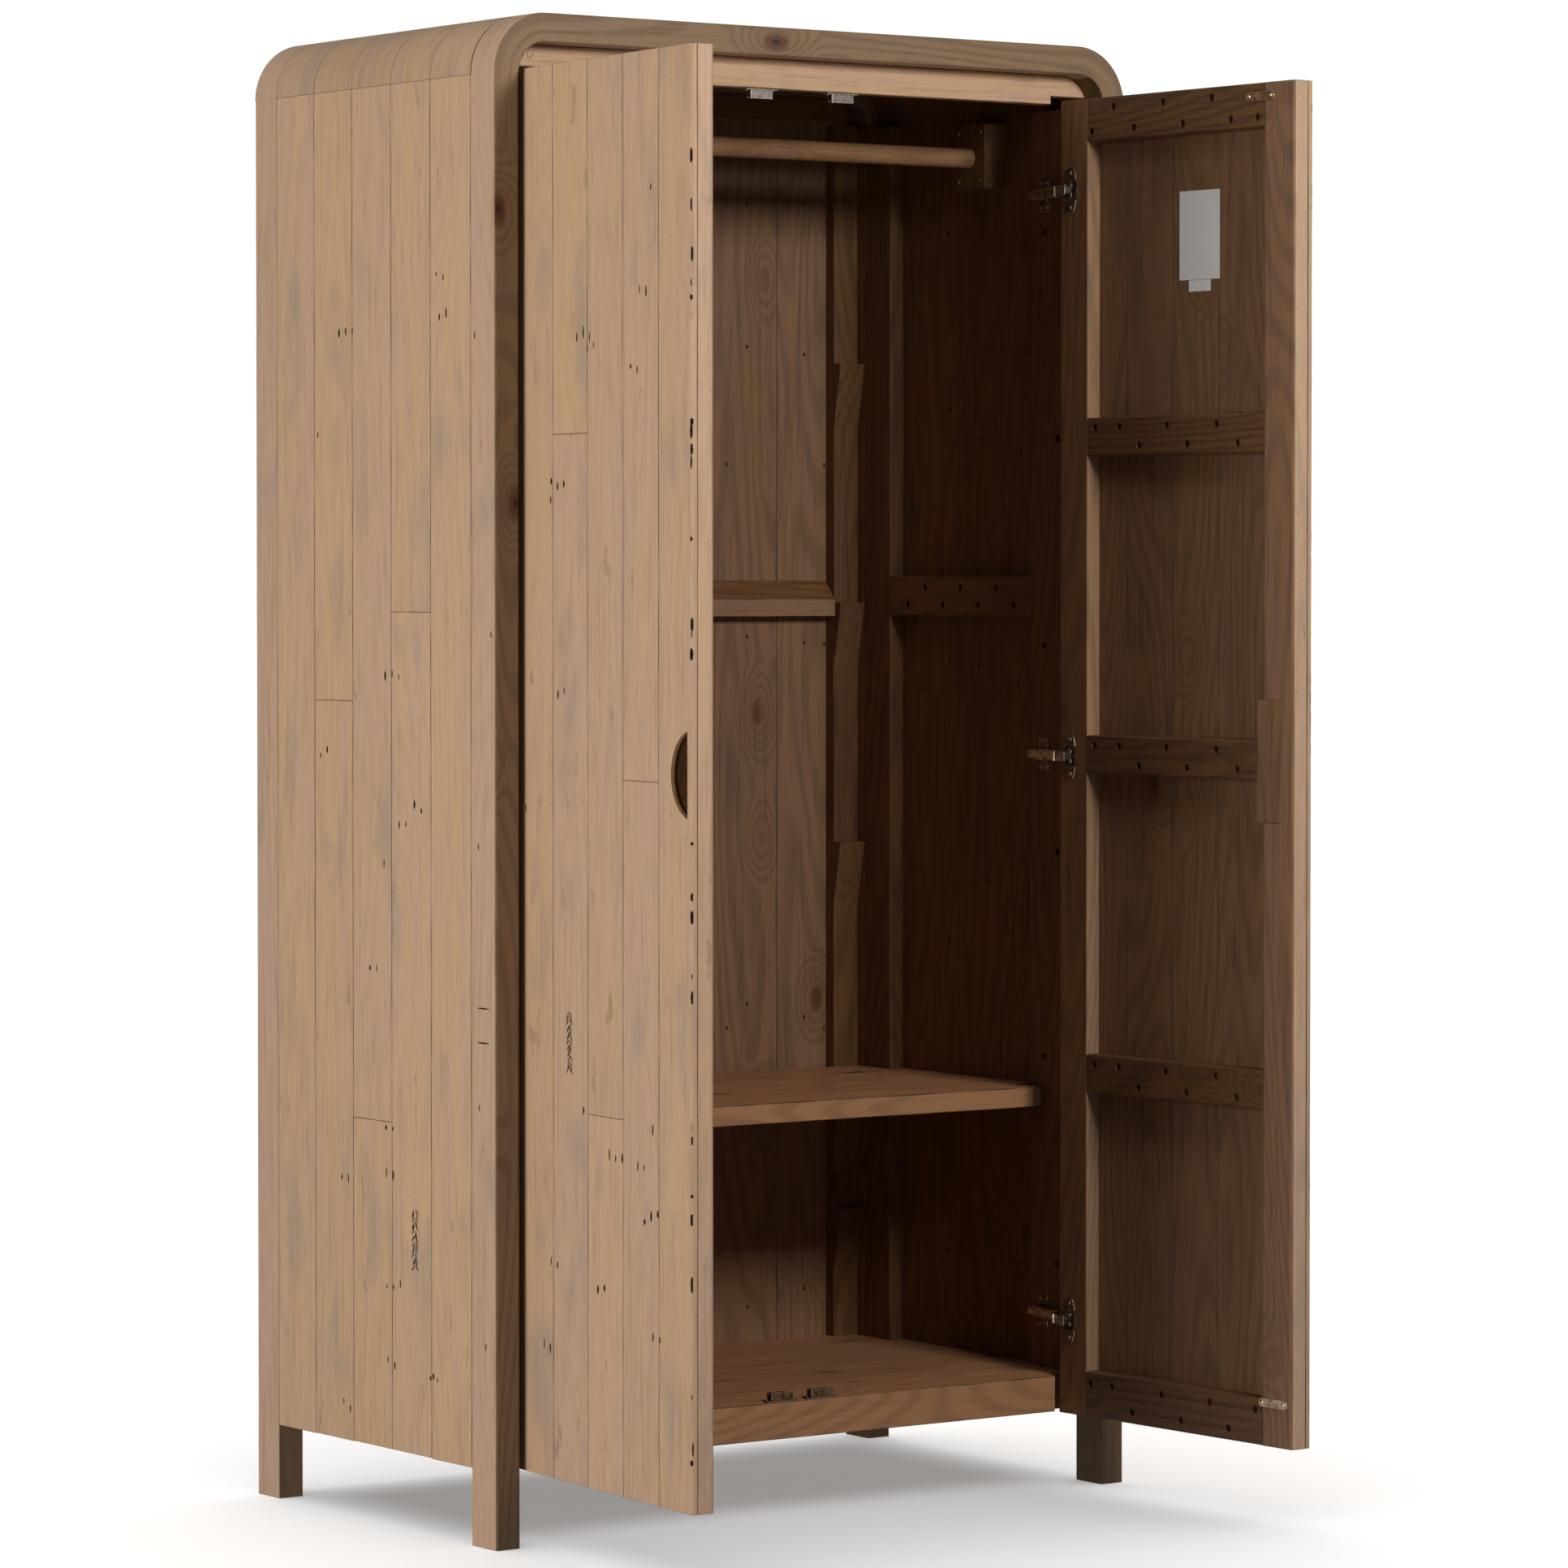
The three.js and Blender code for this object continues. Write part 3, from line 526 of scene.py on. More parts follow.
def metal(name, base, dark, rough):
    """Satin metal with fine brushing, cloudy tarnish and paler, abraded edges."""
    g = Graph(name)
    grain = g.attribute("grain")
    brushed = g.noise(g.stretch(grain, 2600, 2600, 160), 2.0, 0.6)
    tarnish = g.noise(g.stretch(grain, 130, 130, 130), 3.0, 0.6)
    color = g.mix(g.ramp(tarnish, 0.42, 0.70), base, dark)
    color = g.mix(g.math("MULTIPLY", g.attribute("edge_wear_and_shade", "Fac"), 0.5), color, srgb(225, 214, 200))
    roughness = g.math("ADD", g.ramp(tarnish, 0.3, 0.7, rough - 0.06, rough + 0.12),
                       g.math("MULTIPLY", brushed, 0.08))
    return g.finish(color, roughness, [(brushed, 0.12, 0.05 * MM)], metallic=1.0)


def paper():
    g = Graph("blank_label_paper")
    grain = g.attribute("grain")
    fibre = g.noise(g.stretch(grain, 900, 900, 900), 3.0)
    color = g.mix(g.ramp(fibre, 0.35, 0.7), srgb(250, 249, 246), srgb(240, 238, 232))
    return g.finish(color, g.ramp(fibre, 0.3, 0.7, 0.7, 0.85), [(fibre, 0.2, 0.05 * MM)], specular=0.3)


PINE = pine()
HOLE = hole_dark()
STEEL = metal("satin_nickel", srgb(190, 180, 168), srgb(128, 112, 96), 0.26)
NICKEL = metal("worn_nickel", srgb(206, 184, 156), srgb(128, 106, 84), 0.2)
SMOKED = metal("smoked_nickel", srgb(132, 114, 96), srgb(66, 54, 44), 0.3)
BRONZE = metal("antique_bronze", srgb(96, 72, 50), srgb(46, 34, 25), 0.36)
PAPER = paper()


# ---------- carcass ----------
def wood(piece, matrix, body, slot, *nodes, cutter=None):
    return piece.build(matrix, PINE, body, slot, nodes, cutter)


def frame_size():
    """Height of the frame's bend, its outer radius, and half the straight length between the bends."""
    span = Span("front_top_frame")
    return span.hi.z - span.size.z, span.size.z, span.hi.x - span.size.z


def frame_stain(place, normal):
    """The frame is stained in front and, more deeply, on the faces that look into its opening; part of that
    darkening is painted shade on the legs' shaded fronts and inner faces.
    """
    into = Vector((-place.x, 0, min(0, frame_size()[0] - place.z)))
    if normal.y < -0.5:
        return FRAME_FRONT_STAIN_AND_SHADE
    return 1.0 if normal.dot(into.normalized()) > 0.5 else 0.0


def facing(way, level, other=0.0):
    """Stain for a board of which only the faces that look one way are stained, or stained more."""
    return lambda place, normal: level if normal.dot(way) > 0.5 else other


def frame_grain(leg, side):
    """The grain of a leg runs on from the frame above it."""
    base, outer, bend = frame_size()
    length = math.pi * outer + 2 * bend

    def place(p):
        along = p.z - base if side == "left" else length + base - p.z
        return Vector((-p.y, outer - (p.x - leg.lo.x), along))

    return place


def legs():
    for side in SIDES:
        for end in ("front", "back"):
            node = f"{side}_{end}_leg"
            span = Span(f"left_{end}_leg")
            outer = [LEG_ROUND, LEG_ROUND, THIN_ROUND, THIN_ROUND]
            if end == "back":
                outer = outer[::-1]
            leg = Piece(f"{node}_board")
            leg.board(span.lo, span.hi, radii=outer, end=0.25 * MM, end_wear_and_shade=0.2,
                      grain=frame_grain(span, side), offset=FRAME_OFFSET, tone=FRAME_TONE,
                      stain=frame_stain)
            cutter = None
            if end == "front":
                cutter = leg_marks(side, span)
            wood(leg, CARCASS[side], "carcass", "outer_pine", node, cutter=cutter)


def leg_marks(side, span):
    """Two short end-grain cracks and a few nail holes on the outer face of a front leg."""
    marks = Piece(f"{side}_leg_marks")
    across = (span.lo.y + span.hi.y) / 2
    for z in (0.66, 0.705):
        marks.prism(lens(across, z, 15 * MM, 1.1 * MM), X, span.lo.x - MM, span.lo.x + 2 * MM, bevel=0)
    for k in range(5):
        z = 0.25 + 0.33 * k + marks.random.uniform(-0.05, 0.05)
        y = across + marks.random.uniform(-0.02, 0.02)
        marks.prism(lens(y, z, 1.3 * MM, 5 * MM), X, span.lo.x - MM, span.lo.x + NAIL_DEPTH, bevel=0)
    return cutter_from(marks, CARCASS[side], HOLE)


def lens(a, b, wide, tall, lean=0.0, count=8):
    """Pointed oval outline, leaning by an angle."""
    points = []
    for k in range(count):
        turn = 2 * math.pi * k / count
        p, q = wide * math.cos(turn), tall * math.sin(turn)
        points.append((a + p * math.cos(lean) - q * math.sin(lean),
                       b + p * math.sin(lean) + q * math.cos(lean)))
    return points


def sweep(piece, stations, inner, outer, front, back, radii, **look):
    """Board bent in the XZ plane; a station is (centre of the bend, way out, distance along the grain)."""
    rings, edge_wear_and_shade, grain = [], [], []
    for centre, turn, travelled in stations:
        away = Vector((math.cos(turn), 0, math.sin(turn)))
        ring, ring_wear_and_shade = [], []
        for u, v, rub_and_shade, corner in section(inner, outer, -back, -front, radii, 0.0):
            ring.append(centre + away * u + Vector((0, -v, 0)))
            ring_wear_and_shade.append(rub_and_shade)
            grain.append(Vector((v, u, travelled)))
        rings.append(ring)
        edge_wear_and_shade.append(ring_wear_and_shade)
    piece.loft(rings, edge_wear_and_shade, grain=grain, **look)


def arch(node):
    """Top frame: one board carried over both rounded corners."""
    span = Span(node)
    leg = Span("left_front_leg")
    in_front = node.startswith("front")
    base, outer, bend = frame_size()
    steps = 14
    stations = []
    for corner, start in ((-bend, math.pi), (bend, math.pi / 2)):
        for i in range(steps + 1):
            turned = math.pi / 2 * i / steps
            travelled = outer * (math.pi - start + turned) + corner + bend
            stations.append((Vector((corner, 0, base)), start - turned, travelled))
    front, back = span.lo.y, span.lo.y + leg.size.y
    radii = [THIN_ROUND, LEG_ROUND, LEG_ROUND, THIN_ROUND]
    if not in_front:
        front, back = span.hi.y - leg.size.y, span.hi.y
        radii = [LEG_ROUND, THIN_ROUND, THIN_ROUND, LEG_ROUND]
    piece = Piece(f"{node}_board")
    sweep(piece, stations, outer - leg.size.x, outer, front, back, radii, offset=FRAME_OFFSET,
          tone=FRAME_TONE, stain=frame_stain)
    if not in_front:
        lo = Vector((-bend, span.lo.y, Span("left_rear_toothed_strip").hi.z))
        hi = Vector((bend, Span("back_panel").lo.y, span.hi.z - leg.size.x - PANEL_AIR))
        piece.board(lo, hi, along=X, stain=1.0)
    wood(piece, HERE, "carcass", "outer_pine", node)


def corner_mouldings():
    """Quarter-round staves that carry the side planks over on to the top."""
    span = Span("left_corner_moulding")
    radius = span.size.x
    thick = Span("left_side_panel").size.x
    centre = Vector((span.hi.x, 0, span.lo.z))
    steps = 16
    stations = [(centre, math.pi - math.pi / 2 * i / steps, radius * math.pi / 2 * i / steps)
                for i in range(steps + 1)]
    pitch = span.size.y / SIDE_PLANKS
    for side in SIDES:
        piece = Piece(f"{side}_corner_moulding_board")
        for k in range(SIDE_PLANKS):
            front = span.lo.y + pitch * k + PLANK_GAP
            sweep(piece, stations, radius - thick, radius, front, front + pitch - 2 * PLANK_GAP,
                  [0.4 * MM] * 4, tone=(piece.random.gauss(-3.0, 0.8), 0.0),
                  stain=facing(Vector((0.7, 0, -0.7)), 1.0))
        wood(piece, CARCASS[side], "carcass", "outer_pine", f"{side}_corner_moulding")


def nail_groups(marks, width, low, high):
    """Seeded rows of one to three nail holes: each hole's distance from the first edge, and its height."""
    for _ in range(NAIL_GROUPS):
        across = marks.random.uniform(NAIL_MARGIN, width - NAIL_MARGIN - 2 * NAIL_STEP)
        level = marks.random.uniform(low + NAIL_MARGIN, high - NAIL_MARGIN)
        for k in range(marks.random.choice((1, 2, 2, 3))):
            yield across + k * NAIL_STEP, level + marks.random.gauss(0, 3 * MM)


def plank_rows(piece, spans, joints, floor_jitter=0.0, **look):
    """Upright planks given as (lo, hi, radii); joints maps a plank to the heights of its butt joints."""
    for k, (lo, hi, radii) in enumerate(spans):
        levels = [lo.z + piece.random.uniform(0, floor_jitter), *joints.get(k, ()), hi.z]
        for low, high in zip(levels, levels[1:]):
            bottom, top = lo.copy(), hi.copy()
            bottom.z = low + PLANK_GAP
            top.z = high - PLANK_GAP
            piece.board(bottom, top, radii=radii, end=SEAM_ROUND, wobble=0.25 * MM, **look)


def scuff(marks, place, axis, low, high):
    """Fishbone of short gouges round an upright spine; place maps (across, z) to the outline's order."""
    for k in range(SCUFF_ROWS):
        for lean in (-1, 1):
            a = lean * 3.6 * MM + marks.random.uniform(-1.8, 1.8) * MM
            b = (k - SCUFF_ROWS / 2) * SCUFF_PITCH + marks.random.uniform(-1.5, 1.5) * MM
            tilt = lean * marks.random.uniform(0.5, 0.9)
            stroke = lens(a, b, 1.2 * MM, 5.6 * MM, tilt, 6)
            marks.prism([place(p, q) for p, q in stroke], axis, low, high, bevel=0)


def side_walls():
    span = Span("left_side_panel")
    pitch = span.size.y / SIDE_PLANKS
    for side in SIDES:
        piece = Piece(f"{side}_side_planks")
        rows = []
        for k in range(SIDE_PLANKS):
            lo = Vector((span.lo.x, span.lo.y + pitch * k + PLANK_GAP, span.lo.z))
            hi = Vector((span.hi.x, span.lo.y + pitch * (k + 1) - PLANK_GAP, span.hi.z))
            rows.append((lo, hi, SEAM_ROUND))
        plank_rows(piece, rows, SIDE_JOINTS, 3 * MM, stain=facing(INWARD, 1.0))
        marks = Piece(f"{side}_side_marks")
        for behind, z in nail_groups(marks, span.size.y, span.lo.z, span.hi.z):
            tall = marks.random.uniform(3, 8) * MM
            wide = marks.random.uniform(1.2, 2.3) * MM
            y = span.lo.y + behind
            marks.prism(lens(y, z, wide, tall), X, span.lo.x - MM, span.lo.x + NAIL_DEPTH, bevel=0)
        behind, level = SIDE_SCUFF
        middle = span.lo.y + behind
        scuff(marks, lambda across, z: (middle + across, level + z), X, span.lo.x - MM,
              span.lo.x + SCUFF_DEPTH)
        for z in INNER_NAIL_LEVELS:
            for y in INNER_NAIL_PLACES:
                if marks.random.random() < 0.5:
                    across = span.lo.y + y + marks.random.uniform(-0.012, 0.012)
                    nail = lens(across, z + marks.random.uniform(-0.02, 0.02), 2.2 * MM, 3.4 * MM)
                    marks.prism(nail, X, span.hi.x - NAIL_DEPTH, span.hi.x + MM, bevel=0)
        cutter = cutter_from(marks, CARCASS[side], HOLE)
        wood(piece, CARCASS[side], "carcass", "outer_pine", f"{side}_side_panel", cutter=cutter)


def top_panel():
    span = Span("top_panel")
    piece = Piece("top_panel_planks")
    pitch = span.size.y / SIDE_PLANKS
    for k in range(SIDE_PLANKS):
        lo = Vector((span.lo.x, span.lo.y + pitch * k + PLANK_GAP, span.lo.z))
        hi = Vector((span.hi.x, span.lo.y + pitch * (k + 1) - PLANK_GAP, span.hi.z))
        piece.board(lo, hi, along=X, radii=SEAM_ROUND, end=SEAM_ROUND, stain=facing(-UP, 1.0))
    wood(piece, HERE, "carcass", "outer_pine", "top_panel")


def inner_frames():
    """Two stiles and a screwed batten on the inside of each wall."""
    span = Span("left_inner_frame")
    planks = Span("left_side_panel")
    post = Span("left_front_toothed_strip")
    front = post.lo.y
    rear = span.lo.y + REAR_STILE_PLACE
    leg = Span("left_back_leg")
    for side in SIDES:
        piece = Piece(f"{side}_inner_frame_boards")
        piece.board(span.lo, Vector((span.hi.x, front - PLANK_GAP, span.hi.z)), stain=1.0)
        piece.board(Vector((span.lo.x, rear, span.lo.z)),
                    Vector((span.hi.x, leg.lo.y - PANEL_AIR, span.hi.z)), stain=1.0, tone=(-4.0, 0.0))
        piece.board(Vector((leg.hi.x + 0.4 * MM, leg.lo.y - 0.2 * MM, span.lo.z)),
                    Vector((span.hi.x, span.hi.y, span.hi.z)), stain=1.0)
        start = Vector((post.hi.x + 0.4 * MM, front, WALL_BATTEN[0]))
        piece.board(start, Vector((span.hi.x, rear - PLANK_GAP, WALL_BATTEN[1])), along=Y, stain=1.0)
        holes = Piece(f"{side}_inner_frame_holes")
        for k in range(7):
            y = front + 0.04 + k * 0.042
            z = WALL_BATTEN[0] + (0.041 if k % 2 else 0.016)
            bore(holes, (span.hi.x, y, z), X)
        for k in range(6):
            bore(holes, (span.hi.x, span.lo.y + 0.035 + 0.03 * (k % 2), 0.30 + 0.29 * k), X)
        cutter = cutter_from(holes, CARCASS[side], PINE)
        wood(piece, CARCASS[side], "carcass", "inner_pine", f"{side}_inner_frame", cutter=cutter)


def bore(holes, place, axis, radius=5.4 * MM, depth=7 * MM):
    """Counterbore centred on a face."""
    holes.lathe([(radius, -depth), (radius, MM)], place, axis, 18, stain=1.0, tone=(-3.0, 0.0))


def header():
    """Board behind the door heads: its top follows the arch and its ends are stepped up."""
    span = Span("header_board")
    base, outer, bend = frame_size()
    inner = outer - Span("left_front_leg").size.x - PANEL_AIR
    notch_x, notch_z = HEADER_NOTCH
    half = []
    first = math.asin((notch_z - base) / inner)
    for i in range(9):
        turn = first + (math.pi / 2 - first) * i / 8
        half.append((bend + inner * math.cos(turn), base + inner * math.sin(turn)))
    right = [(notch_x, span.lo.z), (notch_x, notch_z)] + half
    outline = right + [(-x, z) for x, z in reversed(right)]
    piece = Piece("header_board_plank")
    piece.prism([(z, x) for x, z in outline], Y, span.lo.y, span.hi.y, bevel=1.1 * MM, along=X,
                tone=(2.4, 0.3))
    cracks = Piece("header_cracks")
    for k in range(5):
        x = -0.462 + 0.006 * k
        lean = cracks.random.uniform(-0.9, 0.9)
        cracks.prism(lens(1.944 + cracks.random.uniform(-5, 5) * MM, x, 6 * MM, 0.5 * MM, lean, 6), Y,
                     span.lo.y - MM, span.lo.y + 2 * MM, bevel=0)
    wood(piece, HERE, "carcass", "outer_pine", "header_board",
         cutter=cutter_from(cracks, HERE, HOLE))


def flat_boards():
    """Bottom board and shelf, each glued up from long boards with the grain running across the armoire."""
    for node, count, bevel in (("bottom_board", 5, 1.0 * MM), ("shelf", 4, 1.3 * MM)):
        outline = node_outline(node)
        span = Span(node)
        piece = Piece(f"{node}_planks")
        cuts = [span.lo.y + span.size.y * k / count for k in range(count + 1)]
        for low, high in zip(cuts, cuts[1:]):
            strip = clip(clip(outline, 1, low, 1), 1, high, -1)
            light = 0.5 if low == cuts[0] else piece.random.gauss(0, 0.5)
            piece.prism(strip, Z, span.lo.z, span.hi.z, bevel=bevel, along=X, tone=(light, 2.8), stain=0.66)
        wood(piece, HERE, "carcass", "inner_pine", node)


def node_outline(node):
    """Plan outline of a flat CAD board, read off the loop of edges round its upper face."""
    mesh = frame["nodes"][node].data
    top = max(v.co.z for v in mesh.vertices)
    counted = {}
    place = {}
    for face in mesh.polygons:
        ends = [mesh.vertices[i].co for i in face.vertices]
        if any(abs(p.z - top) > 0.1 * MM for p in ends):
            continue
        keys = [(round(p.x, 5), round(p.y, 5)) for p in ends]
        for p, q in zip(keys, keys[1:] + keys[:1]):
            if (q, p) in counted:
                counted.pop((q, p))
            else:
                counted[(p, q)] = True
    follow = {p: q for p, q in counted}
    start = min(follow)
    loop = [start]
    while follow[loop[-1]] != start:
        loop.append(follow[loop[-1]])
    return loop


def clip(outline, axis, limit, keep):
    """Part of an outline where keep * (coordinate - limit) is positive."""
    result = []
    for p, q in zip(outline, outline[1:] + outline[:1]):
        a, b = keep * (p[axis] - limit), keep * (q[axis] - limit)
        if a >= 0:
            result.append(p)
        if (a > 0 > b) or (a < 0 < b):
            t = a / (a - b)
            result.append((p[0] + (q[0] - p[0]) * t, p[1] + (q[1] - p[1]) * t))
    return result


def toothed_strips():
    """Upright strips whose sawtooth ledges carry the shelf."""
    for kind in ("rear", "front"):
        span = Span(f"left_{kind}_toothed_strip")
        out = -1 if kind == "rear" else 1
        base, tip = (span.hi.y, span.lo.y) if kind == "rear" else (span.lo.y, span.hi.y)
        face = tip - out * 0.017
        outline = [(base, span.lo.z), (face, span.lo.z)]
        for ledge in LEDGES:
            outline += [(face, ledge - LEDGE_SLOPE), (tip, ledge - 1.5 * MM), (tip, ledge), (face, ledge)]
        outline += [(face, span.hi.z), (base, span.hi.z)]
        for side in SIDES:
            piece = Piece(f"{side}_{kind}_toothed_strip_board")
            cuts = [span.lo.z, *[ledge + 0.1 * MM for ledge in LEDGES], span.hi.z]
            for low, high in zip(cuts, cuts[1:]):
                part = clip(clip(outline, 1, low, 1), 1, high, -1)
                # The strips' darker tone is painted shade: it darkens them like the shadow the doors cast at
                # the sides of the inside.
                piece.prism(part, X, span.lo.x, span.hi.x, bevel=1.0 * MM, along=Z, stain=1.0,
                            tone=(piece.random.gauss(-3.4, 0.8), piece.random.gauss(0, 0.8)))
            wood(piece, CARCASS[side], "carcass", "inner_pine", f"{side}_{kind}_toothed_strip")


def hanging_rod():
    span = Span("hanging_rod")
    radius = span.size.z / 2
    piece = Piece("hanging_rod_dowel")
    half = span.size.x / 2
    stops = [-half, -half + MM] + [half * (k / 8 - 1) for k in range(1, 16)] + [half - MM, half]
    sizes = [radius - MM] + [radius - 0.05 * MM] * (len(stops) - 2) + [radius - MM]
    piece.lathe(list(zip(sizes, stops)), span.mid, X, 40, stain=0.6, tone=(1.0, 2.4))
    wood(piece, HERE, "carcass", "inner_pine", "hanging_rod")
    block = Span("left_rod_block")
    for side in SIDES:
        carrier = Piece(f"{side}_rod_block_board")
        carrier.board(block.lo, block.hi, radii=2.0 * MM, end=1.5 * MM, stain=1.0, tone=(-4.0, 0.0))
        tool = Piece(f"{side}_rod_socket")
        mouth = (block.hi.x, span.mid.y, span.mid.z)
        tool.lathe([(radius + 0.3 * MM, -14 * MM), (radius + 0.3 * MM, MM)], mouth, X, 40)
        wood(carrier, CARCASS[side], "carcass", "inner_pine", f"{side}_rod_block",
             cutter=cutter_from(tool, CARCASS[side], PINE))
        heads = Piece(f"{side}_rod_block_screws")
        for y in (block.lo.y + 0.010, block.hi.y - 0.010):
            for z in (block.lo.z + 0.012, block.hi.z - 0.012):
                screw(heads, (block.hi.x, y, z), X)
        heads.build(CARCASS[side], BRONZE, "carcass", "bronze_catch")


def screw(piece, place, axis, sign=1, radius=3.4 * MM):
    """Pan head with a dimple for the driver; sign says which way along the axis it looks."""
    profile = [(radius, -0.2 * MM), (radius, 0.5 * MM), (radius * 0.85, 1.1 * MM),
               (radius * 0.45, 1.4 * MM), (radius * 0.4, 0.7 * MM), (radius * 0.1, 0.3 * MM)]
    if sign < 0:
        profile = [(r, -d) for r, d in profile][::-1]
    piece.lathe(profile, place, axis, 16, tone=(0, 0))


def back_wall():
    span = Span("back_panel")
    base, outer, bend = frame_size()
    inner = outer - Span("left_front_leg").size.x - PANEL_AIR
    arc = [(bend + inner * math.cos(t), base + inner * math.sin(t))
           for t in (math.pi / 2 * i / 10 for i in range(11))]
    right = [(span.hi.x, span.lo.z)] + arc
    outline = [(z, x) for x, z in right + [(-x, z) for x, z in reversed(right)]]
    piece = Piece("back_planks")
    pitch = span.size.x / BACK_PLANKS
    for k in range(BACK_PLANKS):
        low = span.lo.x + pitch * k + PLANK_GAP
        strip = clip(clip(outline, 1, low, 1), 1, low + pitch - 2 * PLANK_GAP, -1)
        piece.prism(strip, Y, span.lo.y, span.hi.y, bevel=SEAM_ROUND, along=Z, stain=0.8,
                    tone=piece.new_tone(1.3))
    marks = Piece("back_marks")
    for k in range(BACK_PLANKS):
        x = span.lo.x + pitch * (k + 0.5)
        for z in BACK_NAIL_LEVELS:
            for shift in (-0.020, 0.016):
                if marks.random.random() < 0.55:
                    a = z + marks.random.uniform(-0.03, 0.03)
                    marks.prism(lens(a, x + shift, 3.4 * MM, 1.5 * MM), Y, span.lo.y - MM,
                                span.lo.y + NAIL_DEPTH, bevel=0)
    wood(piece, HERE, "carcass", "inner_pine", "back_panel",
         cutter=cutter_from(marks, HERE, HOLE))

    rail = Span("back_middle_rail")
    ledge = rail.lo.z + 0.026
    outline = [(rail.hi.y, rail.lo.z), (rail.hi.y, rail.hi.z), (rail.lo.y, ledge), (rail.lo.y, rail.lo.z)]
    piece = Piece("back_middle_rail_board")
    piece.prism(outline, X, rail.lo.x, rail.hi.x, bevel=1.2 * MM, along=X, stain=facing(UP, 1.0, 0.75),
                tone=(0.2, 0.2))
    wood(piece, HERE, "carcass", "inner_pine", "back_middle_rail")


CATCH_KINDS = (("top", STEEL, "hinge_steel", -1), ("bottom", BRONZE, "bronze_catch", 1))


def catches():
    """Magnet catches: a slotted foot, a case with two magnets and a steel lip."""
    for side in SIDES:
        for end, metal_kind, slot, up in CATCH_KINDS:
            node = f"{side}_{end}_catch"
            span = Span(f"left_{end}_catch")
            level = span.hi.z if up < 0 else span.lo.z
            piece = Piece(f"{node}_metal")

            def slab(x, y, z, bevel):
                low, high = sorted((level + up * z[0], level + up * z[1]))
                outline = [(x[0], y[0]), (x[1], y[0]), (x[1], y[1]), (x[0], y[1])]
                piece.prism(outline, Z, low, high, bevel=bevel)

            mid, front = span.mid.x, span.lo.y
            slab((span.lo.x, span.hi.x), (span.lo.y + MM, span.hi.y - 3 * MM), (0, 1.8 * MM), 0.5 * MM)
            slab((mid - 0.017, mid + 0.017), (front + 4.2 * MM, span.hi.y), (1.9 * MM, 12.5 * MM), 2.4 * MM)
            slab((mid - 0.018, mid + 0.018), (front + 2.8 * MM, front + 4 * MM), (2 * MM, 13.5 * MM),
                 0.4 * MM)
            for shift in (-0.0215, 0.0215):
                screw(piece, (mid + shift, span.mid.y, level + up * 1.8 * MM), Z, up, 2.4 * MM)
            piece.build(CARCASS[side], metal_kind, "carcass", slot, (node,))


# ---------- hinges ----------


def ring_outline(ring, steps=10):
    """Ring sector about the hinge pin, in plan."""
    turns = [math.radians(ring["from"] + (ring["to"] - ring["from"]) * i / steps) for i in range(steps + 1)]
    outer = [(PIN.x + ring["far"] * math.cos(t), PIN.y + ring["far"] * math.sin(t)) for t in turns]
    inner = [(PIN.x + ring["near"] * math.cos(t), PIN.y + ring["near"] * math.sin(t)) for t in turns[::-1]]
    return outer + inner


def winged(a, b, wide, tall, waist):
    """Mounting plate outline with flared wings, given as (a, b) pairs."""
    half = tall / 2
    right = [(wide / 2, -half), (wide / 2, -half * 0.62), (waist / 2, -half * 0.42),
             (waist / 2, half * 0.42), (wide / 2, half * 0.62), (wide / 2, half)]
    soft = [(wide / 2 - 2.5 * MM, half + 1.2 * MM)]
    points = right + soft
    return [(a + p, b + q) for p, q in points] + [(a - p, b - q) for p, q in points]


def hinge_arms():
    """Dark winged plate on the wall with a bright bar that runs past it to the pin."""
    for side in SIDES:
        for where in HINGE_LEVELS:
            node = f"{side}_{where}_hinge_arm"
            span = Span(f"left_{where}_hinge_arm")
            face, z = span.lo.x, span.mid.z
            mid = span.hi.y - 20 * MM
            plate = Piece(f"{node}_plate")
            plate.prism(winged(mid, z, 24 * MM, 45 * MM, 18 * MM), X, face, face + 1.9 * MM, bevel=0.5 * MM)
            for y in (-6.5, 6.5):
                for rise in (-17, 17):
                    screw(plate, (face + 1.9 * MM, mid + y * MM, z + rise * MM), X)
            plate.build(CARCASS[side], SMOKED, "carcass", "hinge_steel")

            piece = Piece(f"{node}_bar")
            elbow, tip = ring_end(ARM_TIP, "far"), ring_end(ARM_TIP, "near")
            slope = [(face + 2.2 * MM, span.hi.y), (face + 12 * MM, span.hi.y + 2 * MM),
                     (face + 16 * MM, mid - 4 * MM), (face + 29 * MM, elbow[1] + 8 * MM), elbow, tip,
                     (face + 23 * MM, elbow[1] + 3.5 * MM), (face + 9 * MM, mid - 12 * MM),
                     (face + 2.2 * MM, mid - 8 * MM)]
            piece.prism(slope, Z, z - 5.6 * MM, z + 5.6 * MM, bevel=0.9 * MM)
            for flange in (-1, 1):
                low, high = sorted((z + flange * 5.7 * MM, z + flange * 7 * MM))
                wall = [(face + 8 * MM, mid + 8 * MM), (face + 16 * MM, mid + 4 * MM),
                        (face + 28 * MM, elbow[1] + 12 * MM), (face + 24 * MM, elbow[1] + 6 * MM),
                        (face + 12 * MM, mid - 12 * MM)]
                piece.prism(wall, Z, low, high, bevel=0.3 * MM)
            piece.prism(ring_outline(ARM_TIP), Z, z - 6.5 * MM, z + 6.5 * MM, bevel=0.5 * MM)
            screw(piece, (face + 14 * MM, mid + 3 * MM, z), X, 1, 3.0 * MM)
            rivet(piece, (face + 16 * MM, mid - 14 * MM, z), 7.6 * MM)
            piece.build(CARCASS[side], NICKEL, "carcass", "hinge_steel", (node,))


